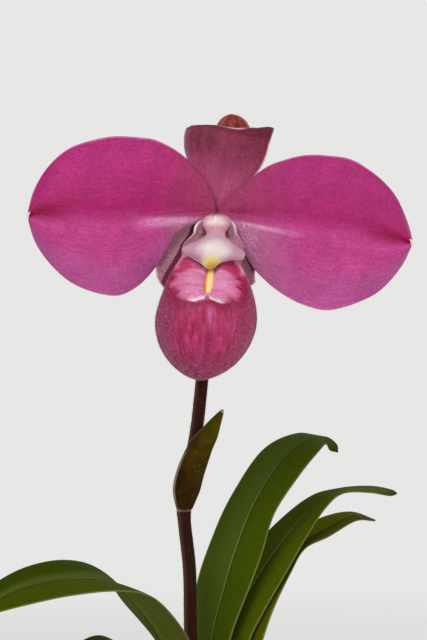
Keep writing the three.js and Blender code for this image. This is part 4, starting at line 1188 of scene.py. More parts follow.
def staminode_wax(w):
    """The flush, rosy low on the left, with a spotted yellow point and a pale lower edge."""
    (u, v, _), (x, _, z) = w.place(), w.split(w.here)
    tone, bumps = w.use(VELVET, Scale=2600, Contrast=0.22)
    rosy = v.span(-0.2, -0.7) * abs(u - 0.2).span(0.2, 0.05)
    away = w.noise(700, 2) * 0.35 + from_oval(x, z, (0.0014, 0.2317), (275, 245))
    spots = away.span(1, 0.5) * w.noise(2600, 1).span(0.56, 0.64)
    edge = w.use(MARGIN, v, Width=0.07) * v.span(0.2, -0.2) * away.span(0.9, 1.4, 0, 0.7)
    colour = w.layers(
        w.use(FLUSH),
        (rosy * 0.6, (176, 104, 146)),
        (away.span(1.35, 0.75), (216, 204, 132)),
        (away.span(0.9, 0.35), (202, 156, 58)),
        (spots * 0.45, (170, 104, 44)),
        (edge, (232, 200, 212)),
    )
    return w.shade(colour, tone), bumps.span(0, 0.6, 0.46, 0.36), bumps


def anther_grain(w):
    """Dusky pink, with painted shade in red on the side towards the column."""
    x, _, _ = w.split(w.here)
    tone, bumps = w.use(VELVET, Scale=3400, Contrast=0.4)
    colour = w.layers(
        w.mix(w.noise(700).span(0.35, 0.65), (140, 90, 104), (172, 124, 138)),
        # painted shade on the side towards the column
        (abs(x - 0.0022).span(0.0041, 0.0033), (136, 64, 84)),
    )
    return w.shade(colour, tone), bumps.span(0, 0.6, 0.6, 0.4), bumps


COLUMN_LOOK = glow(0.2, (1, 0.55, 0.5), 0.001) | {"Coat_Weight": 0.25, "Coat_Roughness": 0.12}
SHIELD_LOOK = glow(0.2, (1, 0.5, 0.6), 0.001) | {"Sheen_Weight": 0.1, "Sheen_Roughness": 0.4}
SHIELD_FINISH = finish("staminode", staminode_wax, 0.00003, **SHIELD_LOOK, Specular_IOR_Level=0.35)
ANTHER_FINISH = finish("anther", anther_grain, 0.00006)
dress("column", [column()], finish("column", column_wax, 0.00003, **COLUMN_LOOK), "column")
dress("staminode", [staminode()], SHIELD_FINISH, "staminode")
dress("anther_left", [anther(-1.3, 241.5)], ANTHER_FINISH, "anther")
dress("anther_right", [anther(6, 241.3)], ANTHER_FINISH, "anther")


# ---- stem, bracts, ovary and bud ----
STEM = [
    (0, 0, 77), (-0.3, 0.4, 91), (-1.9, 2, 106), (-3.6, 3.2, 120), (-4.5, 4.3, 131), (-4.9, 7, 147.9),
    (-6.5, 9, 164.4), (-5, 10.2, 175.4), (-3, 11.3, 186.6), (-1.9, 12.4, 196), (-0.6, 13.9, 208.5),
    (1.1, 15.5, 221),
]
STEM_NODE = 0.548  # share of the stem below the bract


def stem_radius(t, angle):
    """The stem's radius: 1.9 mm, a little less higher up, swollen at the node and the head, and
    shallowly furrowed."""
    swelling = 0.35 * bell(t, STEM_NODE, 0.012) + 0.9 * smooth(t, 0.95, 1)
    furrows = 0.035 * np.cos(7 * angle + 4 * t) + 0.03 * np.cos(3 * angle + 9 * t)
    scar = -0.12 * bell(t, STEM_NODE - 0.003, 0.0025)
    return 1.9 - 0.15 * t + swelling + furrows + scar


def bract(points, width, half_width, bend):
    """A bract, curled round its axis so that each half turns through bend degrees."""
    turn = curve_through(bend)
    return blade(
        points, (width, 0, 0), half_width, lambda u: 0 * u, lambda u: np.radians(turn(u)),
        (80, 46), relief=ribs(9, 0.02, 0.05, 0.12), edge=0.55,
    )


# Each bract's midrib, the way to its second margin along X, its half widths and its bends.
BRACTS = {
    "stem_bract": (
        [
            (-6.4, 6, 165), (-5.8, 5.3, 170.2), (-4.4, 5.3, 175.8), (-2.1, 5.6, 181.4),
            (0.5, 5.2, 185.6), (2.2, 4.8, 188.7), (4.3, 4.2, 192.4),
        ],
        -1, [2.5, 4.9, 5, 4.2, 2.9, 1.8, 0.4], [48, 72, 74, 66, 52, 42, 30],
    ),
    "flower_bract": (
        [(0.4, 11.1, 213.5), (1.1, 10.9, 220), (1.7, 9.7, 227), (2.3, 8.3, 233.5)],
        -1, [3.4, 4.4, 3.6, 0.5], [76, 66, 52, 42],
    ),
    "bud_bract": (
        [(0.9, 18.5, 215), (2.2, 21.4, 223), (4.7, 25, 233), (7, 26.6, 243), (8.2, 26.4, 250)],
        1, [2.4, 4.2, 4.6, 3.4, 0.5], [76, 68, 60, 50, 42],
    ),
}


def ovary():
    """The ovary: a tapering stalk with six ribs."""
    size = curve_through([0.95, 1.6, 2.3, 2.5, 2.4])
    points = [
        (1.2, 13.9, 221.8), (1.7, 13.9, 229), (2.3, 13, 237.5),
        (2.6, 9.6, 244.2), (2.6, 6.4, 246.7), (2.6, 4, 247.3),
    ]
    return stalk(points, lambda t, a: size(t) * (1 + 0.09 * np.cos(6 * a) * smooth(t, 0.1, 0.4)), 90, 72)


def pedicel():
    """The bud's stalk, which widens upwards, with six faint ribs."""
    points = [(1.2, 17.2, 221.8), (3.2, 20.5, 230), (5.6, 22.4, 241), (6.4, 22, 249.6)]
    return stalk(points, lambda t, a: 0.95 + 0.55 * smooth(t, 0, 0.6) + 0.04 * np.cos(6 * a), 60, 48)


def bud():
    """The next bud: egg-shaped, three-lobed, with a seam between its sepals."""
    size = curve_through([1.2, 3, 4.2, 4.8, 5, 5, 4.9])

    def radius(t, angle):
        seam = 0.06 * bell(np.cos(1.5 * angle), 0, 0.12) * smooth(t, 0.15, 0.4)
        tip = np.sqrt(1 - np.clip((t - 0.76) / 0.242, 0, 1) ** 2.2)
        return size(t) * tip * (1 + 0.05 * np.cos(3 * angle) - seam)

    path = [(6.5, 21.9, 250.1), (7.2, 21.2, 259), (7.2, 20.2, 268), (6.8, 18.8, 276)]
    return stalk(path, radius, 84, 60, dome=0.2)


def stalk_bark(w, body, dark, pale, ring_share=0):
    """Dusky, streaked stalks, paler on both sides as painted light, down the left side and along the
    right edge; the stem has a pale ring at its node and is browner below it."""
    t, cosine, _ = w.place()
    tone, bumps = w.use(VELVET, Scale=3000, Contrast=0.35)
    streaks = w.noise(900, 3, 0.6, w.stretched(0.12))
    colour = w.layers(
        w.mix(streaks.span(0.35, 0.65), dark, body),
        (w.use(PATCHES, Scale=150, Level=0.52, Softness=0.14) * 0.12, pale),
        (t.span(STEM_NODE, STEM_NODE - 0.04, 0, 1.5 * ring_share), (34, 18, 8)),
        # painted light down the left side and along the right edge
        (cosine.span(-0.3, -0.8, 0, 0.6).most(cosine.span(0.8, 0.98, 0, 0.5)), pale),
        (abs(t - (STEM_NODE - 0.003)).span(0.0045, 0.002, 0, ring_share), (186, 160, 148)),
    )
    return w.shade(colour, tone), bumps.span(0, 0.6, 0.68, 0.5), bumps + streaks * 1.2


def bract_wax(w):
    """Brown at the foot and olive towards the tip, with dark veins, pale dots, a tan margin, a thin
    pale membrane low on the second half, and a pale point."""
    u, v, _ = w.place()
    tone, bumps = w.use(VELVET, Scale=2400, Contrast=0.3)
    veins, _ = w.use(VEINS, u, v, Count=14, Reach=3, Waver=0.4, Width=0.22)
    patches = w.use(PATCHES, Scale=260, Level=0.5, Softness=0.15)
    level = (patches - 0.5) * 0.14 + u
    membrane = v.span(0.64, 0.76) * u.span(0.5, 0.35) * u.span(0.02, 0.08, 0.4, 1)
    colour = w.layers(
        w.mix(level.span(0.1, 0.6), (38, 21, 4), (54, 38, 4)),
        (level.span(0.4, 0.85), (76, 70, 4)),
        (veins * 0.35, (46, 30, 8)),
        (patches * 0.15, (96, 72, 14)),
        (w.cells(620).span(0.16, 0.08, 0, 0.5), (128, 106, 46)),
        (w.use(MARGIN, v, Width=0.05) * 0.75, (140, 118, 92)),
        (membrane, (150, 130, 118)),
        (u.span(0.97, 0.995), (196, 176, 160)),
    )
    colour = w.shade(colour, tone * v.span(0.6, -0.7, 0.8, 1.15))
    return colour, patches.span(0, 1, 0.42, 0.56), bumps + veins * 0.8


STALK_LOOK = nap(0.01, 0.4, 230, 200, 190) | {"Specular_IOR_Level": 0.06}
STEM_FINISH, OVARY_FINISH, BUD_FINISH = (
    finish(name, stalk_bark, 0.00006, *tones, **STALK_LOOK)
    for name, tones in (
        ("stem", ((52, 17, 10), (32, 9, 4), (96, 60, 46), 0.4)),
        ("ovary", ((108, 72, 48), (80, 44, 36), (128, 98, 62))),
        ("bud", ((150, 66, 58), (114, 38, 40), (164, 96, 80))),
    )
)
BRACT_LOOK = {"Specular_IOR_Level": 0.1, "Specular_Tint": tint(220, 200, 120)}
BRACT_FINISH = finish("bract", bract_wax, 0.00006, **BRACT_LOOK)
stem_skin = stalk(STEM, stem_radius, 420, 40)
ovary_skin, pedicel_skin, bud_skin = ovary(), pedicel(), bud()
dress("stem", [stem_skin], STEM_FINISH, "stem")
dress("ovary", [ovary_skin], OVARY_FINISH, "stem")
dress("bud_pedicel", [pedicel_skin], STEM_FINISH, "stem")
dress("next_bud", [bud_skin], BUD_FINISH, "bud")
for name, shape in BRACTS.items():
    dress(name, [bract(*shape)], BRACT_FINISH, "bract")


# ---- leaves ----
LEAF_THICKNESS = 0.75
LEAF_ARCH = 0.5
# Each leaf's tones: on its second half, on its first half, a painted sheen beside the keel on the
# first, and at its tip; and its cross-sections from foot to tip: the keel's place, then those of its
# two margins.
LEAVES = {
    "leaf_right_tall": (
        ((64, 80, 5), (72, 88, 24), (66, 80, 12), (66, 66, 12)),
        [
            (3.8, 3.8, 77, -0.8, 2.8, 77, 2.8, -0.8, 77),
            (3.4, 5.1, 90, -2, 4.8, 90, 3.1, -0.3, 90),
            (2.7, 7.2, 103, -3.5, 8.3, 103, 3.8, 1, 103),
            (2.1, 9.5, 116, -4.3, 12.5, 116, 5, 3.2, 116),
            (1.4, 12, 127.6, -3.4, 16.5, 127.9, 6.4, 6.7, 128.2),
            (4.9, 16, 142.1, -3, 18, 141.9, 11.6, 11.5, 141.7),
            (8.5, 20.5, 153.6, 1.7, 23, 156, 15.4, 17, 151.2),
            (13.4, 26, 165, 7.3, 28.3, 167.6, 19.2, 23, 162.5),
            (20.5, 33.5, 175.9, 16.2, 36.5, 179.9, 26.7, 30, 173.2),
            (28.2, 40.5, 181.5, 26.3, 45, 184.3, 32.4, 36, 179.6),
            (34.6, 46, 183, 34.2, 50.4, 182.6, 34.7, 42.3, 181.3),
            (37.3, 48.3, 181, 38, 50.4, 181, 36, 45.8, 179.4),
            (38.4, 49.5, 178.7, 38.5, 49.8, 178.6, 38.2, 49.2, 178.6),
        ],
    ),
    "leaf_right_middle": (
        ((74, 88, 4), (72, 88, 3), (60, 72, 2), (50, 42, 0)),
        [
            (5.1, 5.1, 77, 0.3, 4.7, 77, 4.7, 0.3, 77),
            (5.2, 6.6, 90, -0.5, 6.9, 90, 5.5, 1, 90),
            (4.9, 8.8, 103, -1.3, 10.3, 103, 6.3, 2.6, 103),
            (5, 11.5, 116, -1.3, 14.7, 116, 8.2, 5.2, 116),
            (5, 14, 127.3, -0.6, 18.5, 127.9, 11.9, 9.8, 127.8),
            (10.7, 17.5, 138.3, 5.9, 22.5, 140.6, 16, 13, 135.6),
            (16.8, 25, 147.5, 12.3, 30, 150.8, 21.6, 20.1, 144.3),
            (25.5, 36, 157.8, 22.3, 42.5, 160, 28.7, 29.8, 155.3),
            (33, 43.5, 164.2, 31.4, 50.5, 165.9, 34.4, 36.2, 163.1),
            (39.4, 48.5, 167.2, 39.4, 55, 167.4, 39.7, 42, 166.9),
            (48.2, 52.5, 167.6, 48.6, 57.7, 167.9, 47.7, 47.3, 166.8),
            (54.4, 54.5, 166.7, 54.9, 57.6, 166.8, 53.9, 51.3, 165.6),
            (56.2, 55, 166, 56.3, 55.5, 166, 56.2, 54.5, 165.9),
        ],
    ),
    "leaf_right_low": (
        # painted light on its first half, against the middle leaf's shadow, and painted shade on its second
        ((84, 84, 0), (124, 122, 2), (84, 84, 0), (84, 70, 50)),
        [
            (6.4, 6.4, 77, 1.5, 6.7, 77, 6.7, 1.5, 77),
            (7, 8.1, 90, 1.3, 9.1, 90, 7.9, 2.4, 90),
            (7.7, 10.1, 103, 1.6, 11.7, 103, 9.3, 4, 103),
            (8.3, 12.6, 116, 2.3, 16, 116, 11.7, 6.5, 116),
            (9.3, 15, 127.2, 4.2, 19.5, 127.8, 15.6, 10.5, 127.8),
            (13.3, 20, 136.3, 9.4, 25, 138.6, 18.9, 14.7, 136.4),
            (19.5, 30, 145.6, 15.9, 35.8, 148, 24, 24.2, 145.6),
            (26.7, 38, 151.9, 23.7, 44.3, 153.7, 28.2, 30.8, 151.7),
            (34.8, 44, 156.1, 33, 49.8, 158.9, 35.4, 37.2, 154.7),
            (42.7, 49, 159.7, 42.3, 53.2, 160.7, 43.5, 44.8, 158.6),
            (49.6, 52, 158.3, 49.6, 52.3, 158.4, 49.6, 51.7, 158.1),
        ],
    ),
    "leaf_left_high": (
        ((52, 66, 0), (66, 78, 4), (92, 106, 42), (76, 80, 10)),
        [
            (-3.8, -3.8, 77, 0.8, -2.8, 77, -2.8, 0.8, 77),
            (-4.2, -4.2, 92, 1.3, -3.3, 92, -3.3, 1.3, 92),
            (-7.1, -7.8, 110, -0.4, -8.2, 110, -7.5, -1.1, 110),
            (-9.6, -10.8, 120.5, -2.5, -11.8, 120.5, -10.8, -3.5, 120.5),
            (-12.5, -14, 130.7, -4.8, -15.5, 130.8, -14.1, -6.3, 129.7),
            (-20, -25, 142.9, -13.3, -28, 142.9, -22.7, -17.5, 141.6),
            (-26.9, -33, 148.6, -22.5, -38, 146.3, -28.8, -26.5, 150.9),
            (-36.7, -40, 149.5, -35.2, -46.3, 146, -37.9, -35, 154.2),
            (-48, -46.5, 147.6, -47.5, -52.3, 143.9, -48.7, -41.7, 152.4),
            (-56.7, -51, 143.3, -56.6, -54.5, 141.5, -57.2, -47.7, 147.1),
            (-60.2, -52.5, 139.3, -60.2, -52.8, 139.1, -60.2, -52.2, 139.5),
        ],
    ),
    "leaf_left_low": (
        ((52, 66, 2), (62, 76, 6), (62, 74, 12), (80, 80, 18)),
        [
            (-5.1, -5.1, 77, -0.3, -4.7, 77, -4.7, -0.3, 77),
            (-6.1, -6.1, 92, -0.5, -5.6, 92, -5.6, -0.5, 92),
            (-9, -10.8, 107, -2.4, -11.4, 107, -9.6, -4.3, 107),
            (-13, -16, 118, -6, -17.8, 118, -14.3, -9, 118),
            (-19.5, -22.5, 127, -14, -27.2, 126, -21.5, -16, 127.5),
            (-28, -30, 130, -26, -35.5, 126, -28.8, -24.3, 133),
            (-36, -36, 126.5, -35, -41.5, 122.5, -36.5, -30.5, 130),
            (-43, -41, 119.5, -42, -45.5, 116, -44.5, -36.5, 123),
            (-47.5, -45, 110, -46, -47.5, 108.5, -49.5, -42.5, 112),
            (-49.5, -47.5, 101, -49.3, -47.8, 101, -49.8, -47.2, 101),
        ],
    ),
    "leaf_left_sheath": (
        ((70, 80, 16), (74, 84, 22), (70, 82, 16), (96, 96, 40)),
        [
            (-6.4, -6.4, 77, -1.5, -6.7, 77, -6.7, -1.5, 77),
            (-7.8, -8.2, 90, -3.2, -9.3, 90, -8.4, -3.6, 90),
            (-11.5, -13, 102, -8.5, -14.6, 102, -12.5, -9.8, 102),
            (-14.5, -17, 111, -14.3, -17.3, 111, -14.8, -16.7, 111),
        ],
    ),
}

def leaf(sections):
    """A leaf lofted over its keel and its two margins: each half is the straight line between them,
    arched by 4s(1 - s), with a groove along the keel above and a ridge beneath it."""
    keel, before, after = (curve_through(line) for line in np.reshape(sections, (-1, 3, 3)).swapaxes(0, 1))

    def surface(u, v):
        middle = keel(u)
        upper = np.cross(unit(after(u) - before(u)), heading(keel, u))
        share = np.abs(v)
        margin = np.where((v < 0)[..., None], before(u), after(u))
        arch = LEAF_ARCH * 4 * share * (1 - share) * (1 - u**6)
        return middle + (margin - middle) * share[..., None] + upper * arch[..., None]

    def thickness(u, v):
        return LEAF_THICKNESS * (1 - 0.5 * np.abs(v) ** 3) * (1 - 0.35 * u**4)

    def relief(u, v):
        vein = np.cos(np.pi * 9 * v) ** 6 * (1 - smooth(np.abs(v), 0.8, 1))
        fade = 1 - smooth(u, 0.8, 1)
        return -0.012 * vein - 0.16 * bell(v, 0, 0.05) * fade, 0.02 * vein + 0.45 * bell(v, 0, 0.07) * fade

    return sheet(surface, thickness, 12 * len(sections), 53, relief=relief)


def leaf_wax(w, second, first, beside, tip):
    """A leaf in its own tones, streaked and softly blotched, with a painted sheen beside the keel, a pale
    line down the keel that has a dark one beside it, a paler under side and a thin pale margin."""
    u, v, face = w.place()
    tone, bumps = w.use(VELVET, Scale=1900, Contrast=0.3)
    veins, streaks = w.use(VEINS, u, v, Count=34, Reach=2, Waver=0.25, Width=0.3)
    blotch = w.use(PATCHES, Scale=60, Level=0.5, Softness=0.2)
    # painted sheen beside the keel, out along the leaf
    bloom = v.span(0.5, 0.02) * v.span(-0.02, 0.02) * u.span(0.3, 0.6, 0.1, 0.7)
    middle = abs(v).span(0.01, 0.045, 0.75, 0)
    colour = w.layers(
        w.mix(v.span(-0.04, 0.04), first, second),
        (bloom, beside),
        (streaks.span(0.3, 0.75, 0, 0.4), 0.78),
        (blotch * 0.3, 1.22),
        (veins * 0.07, (128, 138, 70)),
        (u.span(0.84, 1, 0, 0.8), tip),
        (u.span(0.2, 0.02, 0, 0.6), (138, 140, 78)),
    )
    under = w.mix(streaks.span(0.3, 0.7), (92, 106, 36), (112, 124, 52))
    colour = w.layers(
        colour,
        (middle, w.mix(u.span(0.55, 0.78), (132, 144, 104), w.shade(colour, 0.45))),
        (v.span(0.16, 0.05) * v.span(0.02, 0.05) * 0.35, 0.7),
        (face.span(0.7, 0.3), w.mix(middle, under, (78, 86, 32))),
        (w.use(MARGIN, v, Width=0.018) * 0.6, (134, 138, 84)),
    )
    return w.shade(colour, tone * 0.82), blotch.span(0, 1, 0.58, 0.68), bumps + veins * 0.6


LEAF_LOOK = {"Specular_IOR_Level": 0.02, "Specular_Tint": tint(170, 190, 70)}
for name, (tones, sections) in LEAVES.items():
    dress(name, [leaf(sections)], finish(name, leaf_wax, 0.00004, *tones, **LEAF_LOOK), "leaf")


# ---- pot ----
POT_HEIGHT, POT_RIM_RADIUS, POT_FOOT_RADIUS = 88, 48, 32
POT_WALL, POT_FLOOR = 4.5, 6
RIM_BAND_HEIGHT, RIM_BAND_STEP = 17, 2.6
DRAIN_RADIUS, DRAIN_RING = 4, 17
MEDIUM_LEVEL = 79


def pot_bore(z):
    """The pot's inner radius, which widens evenly from foot to rim."""
    share = z / POT_HEIGHT
    return POT_FOOT_RADIUS + (POT_RIM_RADIUS - RIM_BAND_STEP - POT_FOOT_RADIUS) * share - POT_WALL


def pot():
    """The pot, turned about +Z, with faint throwing lines on the wall."""
    band = POT_HEIGHT - RIM_BAND_HEIGHT
    top = pot_bore(POT_HEIGHT)
    outline = [
        (0, 0), (POT_FOOT_RADIUS - 1.2, 0), (POT_FOOT_RADIUS, 1.2), (pot_bore(band - 1) + POT_WALL, band - 1),
        (POT_RIM_RADIUS - 1.2, band), (POT_RIM_RADIUS - 0.4, band + 1.4), (POT_RIM_RADIUS, POT_HEIGHT - 1.8),
        (POT_RIM_RADIUS - 1.2, POT_HEIGHT - 0.4), (POT_RIM_RADIUS - 3, POT_HEIGHT),
        (top + 1.4, POT_HEIGHT - 0.3), (top + 0.2, POT_HEIGHT - 1.6),
        (pot_bore(POT_FLOOR + 2), POT_FLOOR + 2), (pot_bore(POT_FLOOR) - 2, POT_FLOOR), (0, POT_FLOOR),
    ]

    def wave(radius, height, angle):
        lines = 0.05 * np.sin(1.9 * height + 0.6 * np.sin(angle)) + 0.04 * np.sin(4.3 * height + 1)
        drift = 0.1 * ripples(2 * np.cos(angle), 2 * np.sin(angle) + 0.03 * height, 21)
        return (lines + drift) * smooth(height, 2, 6) * (radius > 20)

    return turned(outline, 120, 0.9, wave)


def drain_drills():
    """Three round rods through the pot's floor, on a circle about its centre."""
    rods = []
    for turn in turns(3):
        x, y = DRAIN_RING * np.cos(turn), DRAIN_RING * np.sin(turn)
        path = [(x, y, -6), (x, y, POT_FLOOR / 2), (x, y, POT_FLOOR + 6)]
        rods.append(stalk(path, lambda t, a: DRAIN_RADIUS + 0 * t, 4, 40))
    return joined("drills", rods)


def drilled(piece, drills):
    """Cuts the drills' space out of the piece, which keeps the result as its mesh."""
    cutter = placed("drills", drills)
    cut = piece.modifiers.new("drain holes", "BOOLEAN")
    cut.operation, cut.solver, cut.object = "DIFFERENCE", "EXACT", cutter
    bpy.context.view_layer.update()
    result = bpy.data.meshes.new_from_object(piece.evaluated_get(bpy.context.evaluated_depsgraph_get()))
    piece.modifiers.clear()
    piece.data = result
    bpy.data.objects.remove(cutter)


def clay(w):
    """Terracotta, cloudy and grainy, damp near its foot, with a chalky bloom that is strongest on the
    rim."""
    _, _, height = w.split(w.here)
    grain, tone = w.use(GRAIN, Scale=700)
    cloud = w.use(PATCHES, Scale=26, Level=0.5, Softness=0.2)
    bloom = w.use(PATCHES, Scale=75, Level=0.62, Softness=0.09)
    colour = w.layers(
        w.mix(cloud, (188, 108, 72), (206, 128, 88)),
        ((w.noise(40) * 0.03 + height).span(0.012, 0.04, 0.45, 0), (140, 82, 58)),
        (bloom * (height.span(0.05, 0.075) * 0.35 + 0.2), (226, 196, 174)),
    )
    return w.shade(colour, tone), grain.span(0.1, 0.6, 0.92, 0.78), grain


pot_piece = dress("pot", [pot()], finish("clay", clay, 0.00018, Specular_IOR_Level=0.25), "clay")
drilled(pot_piece, drain_drills())


# ---- bark, rootstock and roots ----
FAN_ANGLE = math.radians(45)
FAN_HALF_LENGTH, FAN_HALF_BREADTH = 12, 6.4
ROOTSTOCK_TOP, ROOTSTOCK_HALF_HEIGHT = 76.4, 3.5
ROOTS = [(-72, 27), (-18, 24), (118, 25), (170, 29)]  # direction in degrees, and length
GOLDEN_TURN = 2.39996  # radians from one chip to the next in a sunflower spiral


def packed_bark():
    """The bark that fills the pot: a turned plug whose top is uneven."""
    top, foot = pot_bore(MEDIUM_LEVEL) - CLEARANCE, pot_bore(POT_FLOOR + 2.5) - CLEARANCE
    low, high = POT_FLOOR + CLEARANCE, MEDIUM_LEVEL - 0.6
    plug = turned([(0, low), (foot - 3, low), (foot, low + 2.5), (top, high), (0, high)], 96)
    x, y, z = plug.points.T
    lumps = 0.5 * ripples(x / 1.6, y / 1.6, 31, 12) * (z > MEDIUM_LEVEL - 2) * (np.hypot(x, y) < top - 1)
    plug.points[:, 2] += lumps
    return plug


def turned_by(pitch, roll, yaw):
    """The matrix that turns about +X, then +Y, then +Z."""
    cx, sx, cy, sy, cz, sz = (f(a) for a in (pitch, roll, yaw) for f in (math.cos, math.sin))
    about_x = np.array([[1, 0, 0], [0, cx, -sx], [0, sx, cx]])
    about_y = np.array([[cy, 0, sy], [0, 1, 0], [-sy, 0, cy]])
    return np.array([[cz, -sz, 0], [sz, cz, 0], [0, 0, 1]]) @ about_y @ about_x


def ball(rings, sides, end):
    """Rings of points on a unit ball, from end radians past one pole to as much before the other."""
    polar, around = crossed(np.linspace(end, np.pi - end, rings), turns(sides))
    return np.stack([np.sin(polar) * np.cos(around), np.sin(polar) * np.sin(around), np.cos(polar)], -1)


def chip(size, draw):
    """A chip of bark: a ball drawn out to a box by raising each coordinate to a power, then made
    uneven and stepped where its layers split."""
    grid = ball(12, 18, 0.1)
    box = np.sign(grid) * np.abs(grid) ** 0.4
    x, y, z = np.moveaxis(grid, -1, 0)
    uneven = 1 + 0.26 * ripples(2 * x + z, 2 * y, int(draw.integers(1000000)))
    layers = 1 + 0.07 * np.sign(np.sin(8 * box[..., 2] + 6 * draw.uniform()))
    points = box * size / 2 * np.stack([uneven * layers, uneven * layers, 0.75 + 0.25 * uneven], -1)
    return rings_skin(points, *points[[0, -1]].mean(axis=1))


def chips(count, seed):
    """Chips of bark in a sunflower spiral, tilted and turned at random. Those that would stand in the
    fan of leaves are moved out of it."""
    draw = np.random.default_rng(seed)
    reach = pot_bore(MEDIUM_LEVEL) - CLEARANCE
    cosine, sine = math.cos(FAN_ANGLE), math.sin(FAN_ANGLE)
    fan = np.array([[cosine, sine], [-sine, cosine]])
    made = []
    for k in range(count):
        large = k % 3 != 2
        size = draw.uniform((8, 5.5, 3), (14, 9, 5)) if large else draw.uniform((4, 3, 2), (7, 5, 3.5))
        turn = turned_by(draw.uniform(-0.32, 0.32), draw.uniform(-0.32, 0.32), draw.uniform(0, 2 * np.pi))
        piece = chip(size, draw)
        piece.points = piece.points @ turn.T
        room = reach - np.hypot(*piece.points[:, :2].T).max()
        out, way = room * math.sqrt((k + 0.5) / count), k * GOLDEN_TURN
        centre = np.array([out * math.cos(way), out * math.sin(way)])
        share = fan @ centre / (np.array([FAN_HALF_LENGTH, FAN_HALF_BREADTH]) + size[0] * 0.42)
        inside = np.linalg.norm(share)
        if inside < 1:
            centre = centre / max(inside, 0.2)
        height = MEDIUM_LEVEL + draw.uniform(0.2, 1.6) + (0.4 if large else 1.2)
        piece.points += (*centre, height)
        piece.place[:] = draw.uniform()
        made.append(piece)
    return made


def root(direction, length):
    """A root that leaves the rootstock, crosses the bark and dives into it, swaying as it goes."""
    turn = math.radians(direction)
    ahead = np.array([math.cos(turn), math.sin(turn)])
    side = np.array([-math.sin(turn), math.cos(turn)])
    points = []
    for k, height in enumerate([-5.4, -5, 1.6, 5, 3.4, -3]):
        flat = ahead * (2.5 + length * k / 5) + side * 1.6 * math.sin(1.3 * k)
        points.append((*flat, MEDIUM_LEVEL + height))

    def radius(t, angle):
        return 1.3 - 0.42 * t + 0.05 * np.sin(31 * t + 2 * angle)

    return stalk(points, radius, 90, 28, across=(*side, 0), dome=0.9)


def rootstock():
    """The short rhizome under the fan: a lumpy flattened oval."""
    x, y, z = np.moveaxis(ball(40, 64, 0.05), -1, 0)
    wide = np.hypot(x, y) ** -0.55 * (1 + 0.04 * ripples(4 * x, 4 * y + 3 * z, 17))
    a, b = FAN_HALF_LENGTH * x * wide, FAN_HALF_BREADTH * y * wide
    middle = ROOTSTOCK_TOP - ROOTSTOCK_HALF_HEIGHT
    flat = np.stack([
        a * math.cos(FAN_ANGLE) - b * math.sin(FAN_ANGLE),
        a * math.sin(FAN_ANGLE) + b * math.cos(FAN_ANGLE),
        middle + ROOTSTOCK_HALF_HEIGHT * np.sign(z) * np.abs(z) ** 0.5,
    ], -1)
    return rings_skin(flat, (0, 0, ROOTSTOCK_TOP), (0, 0, middle - ROOTSTOCK_HALF_HEIGHT))


def bark(w):
    """Layered browns, lighter or darker from chip to chip, with pale dust."""
    chip_tone, _, _ = w.place()
    grain, tone = w.use(GRAIN, Scale=420)
    strata = w.noise(260, 5, 0.65, w.stretched(5), 0.6)
    colour = w.layers(
        w.mix(chip_tone, (88, 52, 34), (136, 88, 56)),
        (strata.span(0.62, 0.35), 0.55),
        (w.use(PATCHES, Scale=320, Level=0.6, Softness=0.08) * 0.4, (168, 132, 100)),
    )
    return w.shade(colour, tone), strata.span(0.3, 0.7, 0.95, 0.8), grain + strata


def root_skin(w):
    """Tan and pale grey patches, with a mineral grain."""
    grain, tone = w.use(GRAIN, Scale=1300)
    patches = w.use(PATCHES, Scale=190, Level=0.5, Softness=0.14)
    colour = w.mix(patches, (150, 122, 88), (190, 176, 146))
    return w.shade(colour, tone), grain.span(0.1, 0.6, 0.9, 0.7), grain


BARK_FINISH = finish("bark", bark, 0.0006, Specular_IOR_Level=0.2)
ROOT_FINISH = finish("root", root_skin, 0.00015, Sheen_Weight=0.15)
dress("bark_mix", [packed_bark(), *chips(110, 11)], BARK_FINISH, "bark")
dress("rootstock_and_roots", [rootstock(), *(root(*one) for one in ROOTS)], ROOT_FINISH, "root")


# ---- hairs ----
def hair_shine(w, foot, tip):
    """A tone from foot to tip, flecked."""
    along, _, _ = w.place()
    fleck = w.noise(1500, 1)
    colour = w.shade(w.mix(along, foot, tip), fleck.span(0.3, 0.7, 0.85, 1.1))
    return colour, fleck.span(0.3, 0.7, 0.55, 0.4), fleck


def frosted(place, points):
    """The chance of a hair on the slipper: fewest on its face, most at its toe and sides, and none
    inside."""
    turn, way = np.abs(place[:, 0]), place[:, 1]
    crowd = np.maximum(1 - smooth(way, 0.2, 0.6), smooth(turn, 0.2, 0.4))
    return np.where(way < 1, 0.3 + 0.7 * crowd, 0.15) * (way < 2)


def higher_up(place, points):
    """The chance of a hair on the stem, which grows on its way out of the leaves."""
    return smooth(points[:, 2], 100, 130) * 0.9 + 0.1


def below_tip(place, points):
    """The chance of a hair on the bud, whose tip is bare."""
    return 1 - smooth(points[:, 2], 273, 275)


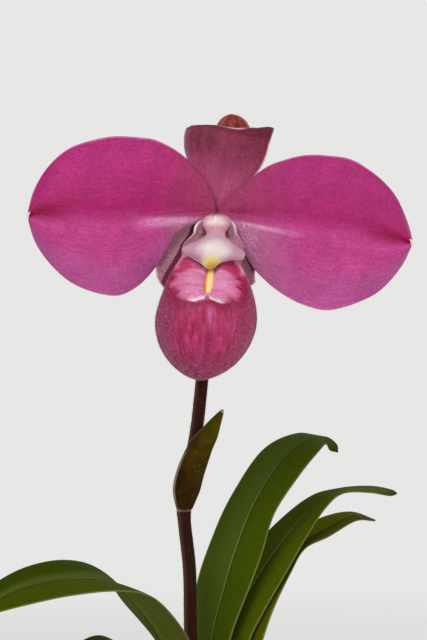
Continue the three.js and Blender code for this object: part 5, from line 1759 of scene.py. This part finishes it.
STEM_HAIR, LIP_HAIR = (
    finish(name, hair_shine, 0.00001, foot, tip, Sheen_Weight=0.2)
    for name, foot, tip in (
        ("stem hairs", (50, 22, 15), (96, 58, 48)),
        ("lip hairs", (176, 84, 126), (232, 190, 212)),
    )
)
for name, skin, count, length, material, slot, keep in (
    ("stem_hairs", stem_skin, 9000, 0.42, STEM_HAIR, "stem", higher_up),
    ("ovary_hairs", ovary_skin, 2500, 0.4, STEM_HAIR, "stem", None),
    ("bud_pedicel_hairs", pedicel_skin, 1500, 0.4, STEM_HAIR, "stem", None),
    ("next_bud_hairs", bud_skin, 3500, 0.38, STEM_HAIR, "bud", below_tip),
    ("lip_hairs", slipper_skin, 32000, 0.36, LIP_HAIR, "lip", frosted),
):
    points, outward = scatter(skin, count, len(name), keep)
    make(name, [hairs(points, outward, length, len(name))], material, slot)


# ---- surroundings ----
FLOOR_HALF, FLOOR_LINES = 1.6, 33  # in metres, and lines of its grid each way
FLOOR_LEVEL = -0.0002
FLOWER = (0, 0, 0.22)  # where the lights aim, in metres


def set_floor():
    """A pale floor that fades out into the world."""
    mesh = bpy.data.meshes.new("floor")
    line = np.linspace(-FLOOR_HALF, FLOOR_HALF, FLOOR_LINES)
    grid = np.stack(crossed(line, line), -1).reshape(-1, 2)
    quads = grid_quads(FLOOR_LINES, FLOOR_LINES)[:, ::-1].tolist()
    mesh.from_pydata(np.column_stack([grid, np.full(len(grid), FLOOR_LEVEL)]), [], quads)
    material = bpy.data.materials.new("floor")
    material.use_nodes = True
    w = Wiring(material.node_tree)
    distance = w.add("VectorMath", {0: w.here}, "Value", operation="LENGTH")
    mottle = w.noise(9, 4)
    w.join("Principled BSDF", {
        "Base Color": w.mix(mottle, (226, 224, 220), (232, 230, 227)),
        "Alpha": distance.span(0.55, 1.5, 1, 0),
        "Roughness": mottle.span(0.3, 0.7, 0.6, 0.75),
    })
    mesh.materials.append(material)
    piece = placed("floor", mesh)


def set_world():
    """An even pale world, which looks brighter than it lights."""
    world = bpy.data.worlds.new("pale room")
    bpy.context.scene.world = world
    world.use_nodes = True
    w = Wiring(world.node_tree)
    w.tree.nodes["Background"].inputs["Color"].default_value = (1, 0.995, 0.985, 1)
    w.join("Background", {"Strength": w.add("LightPath", output="Is Camera Ray") * 0.35 + 0.45})


set_camera()
set_floor()
set_world()
soft_light("key light", (-0.55, -1.05, 0.95), FLOWER, 0.75, 11)
soft_light("fill light", (0.95, -0.85, 0.35), FLOWER, 0.9, 5)
soft_light("back light", (0.45, 0.9, 0.8), FLOWER, 0.8, 5)
bpy.context.scene.view_settings.view_transform = "Standard"
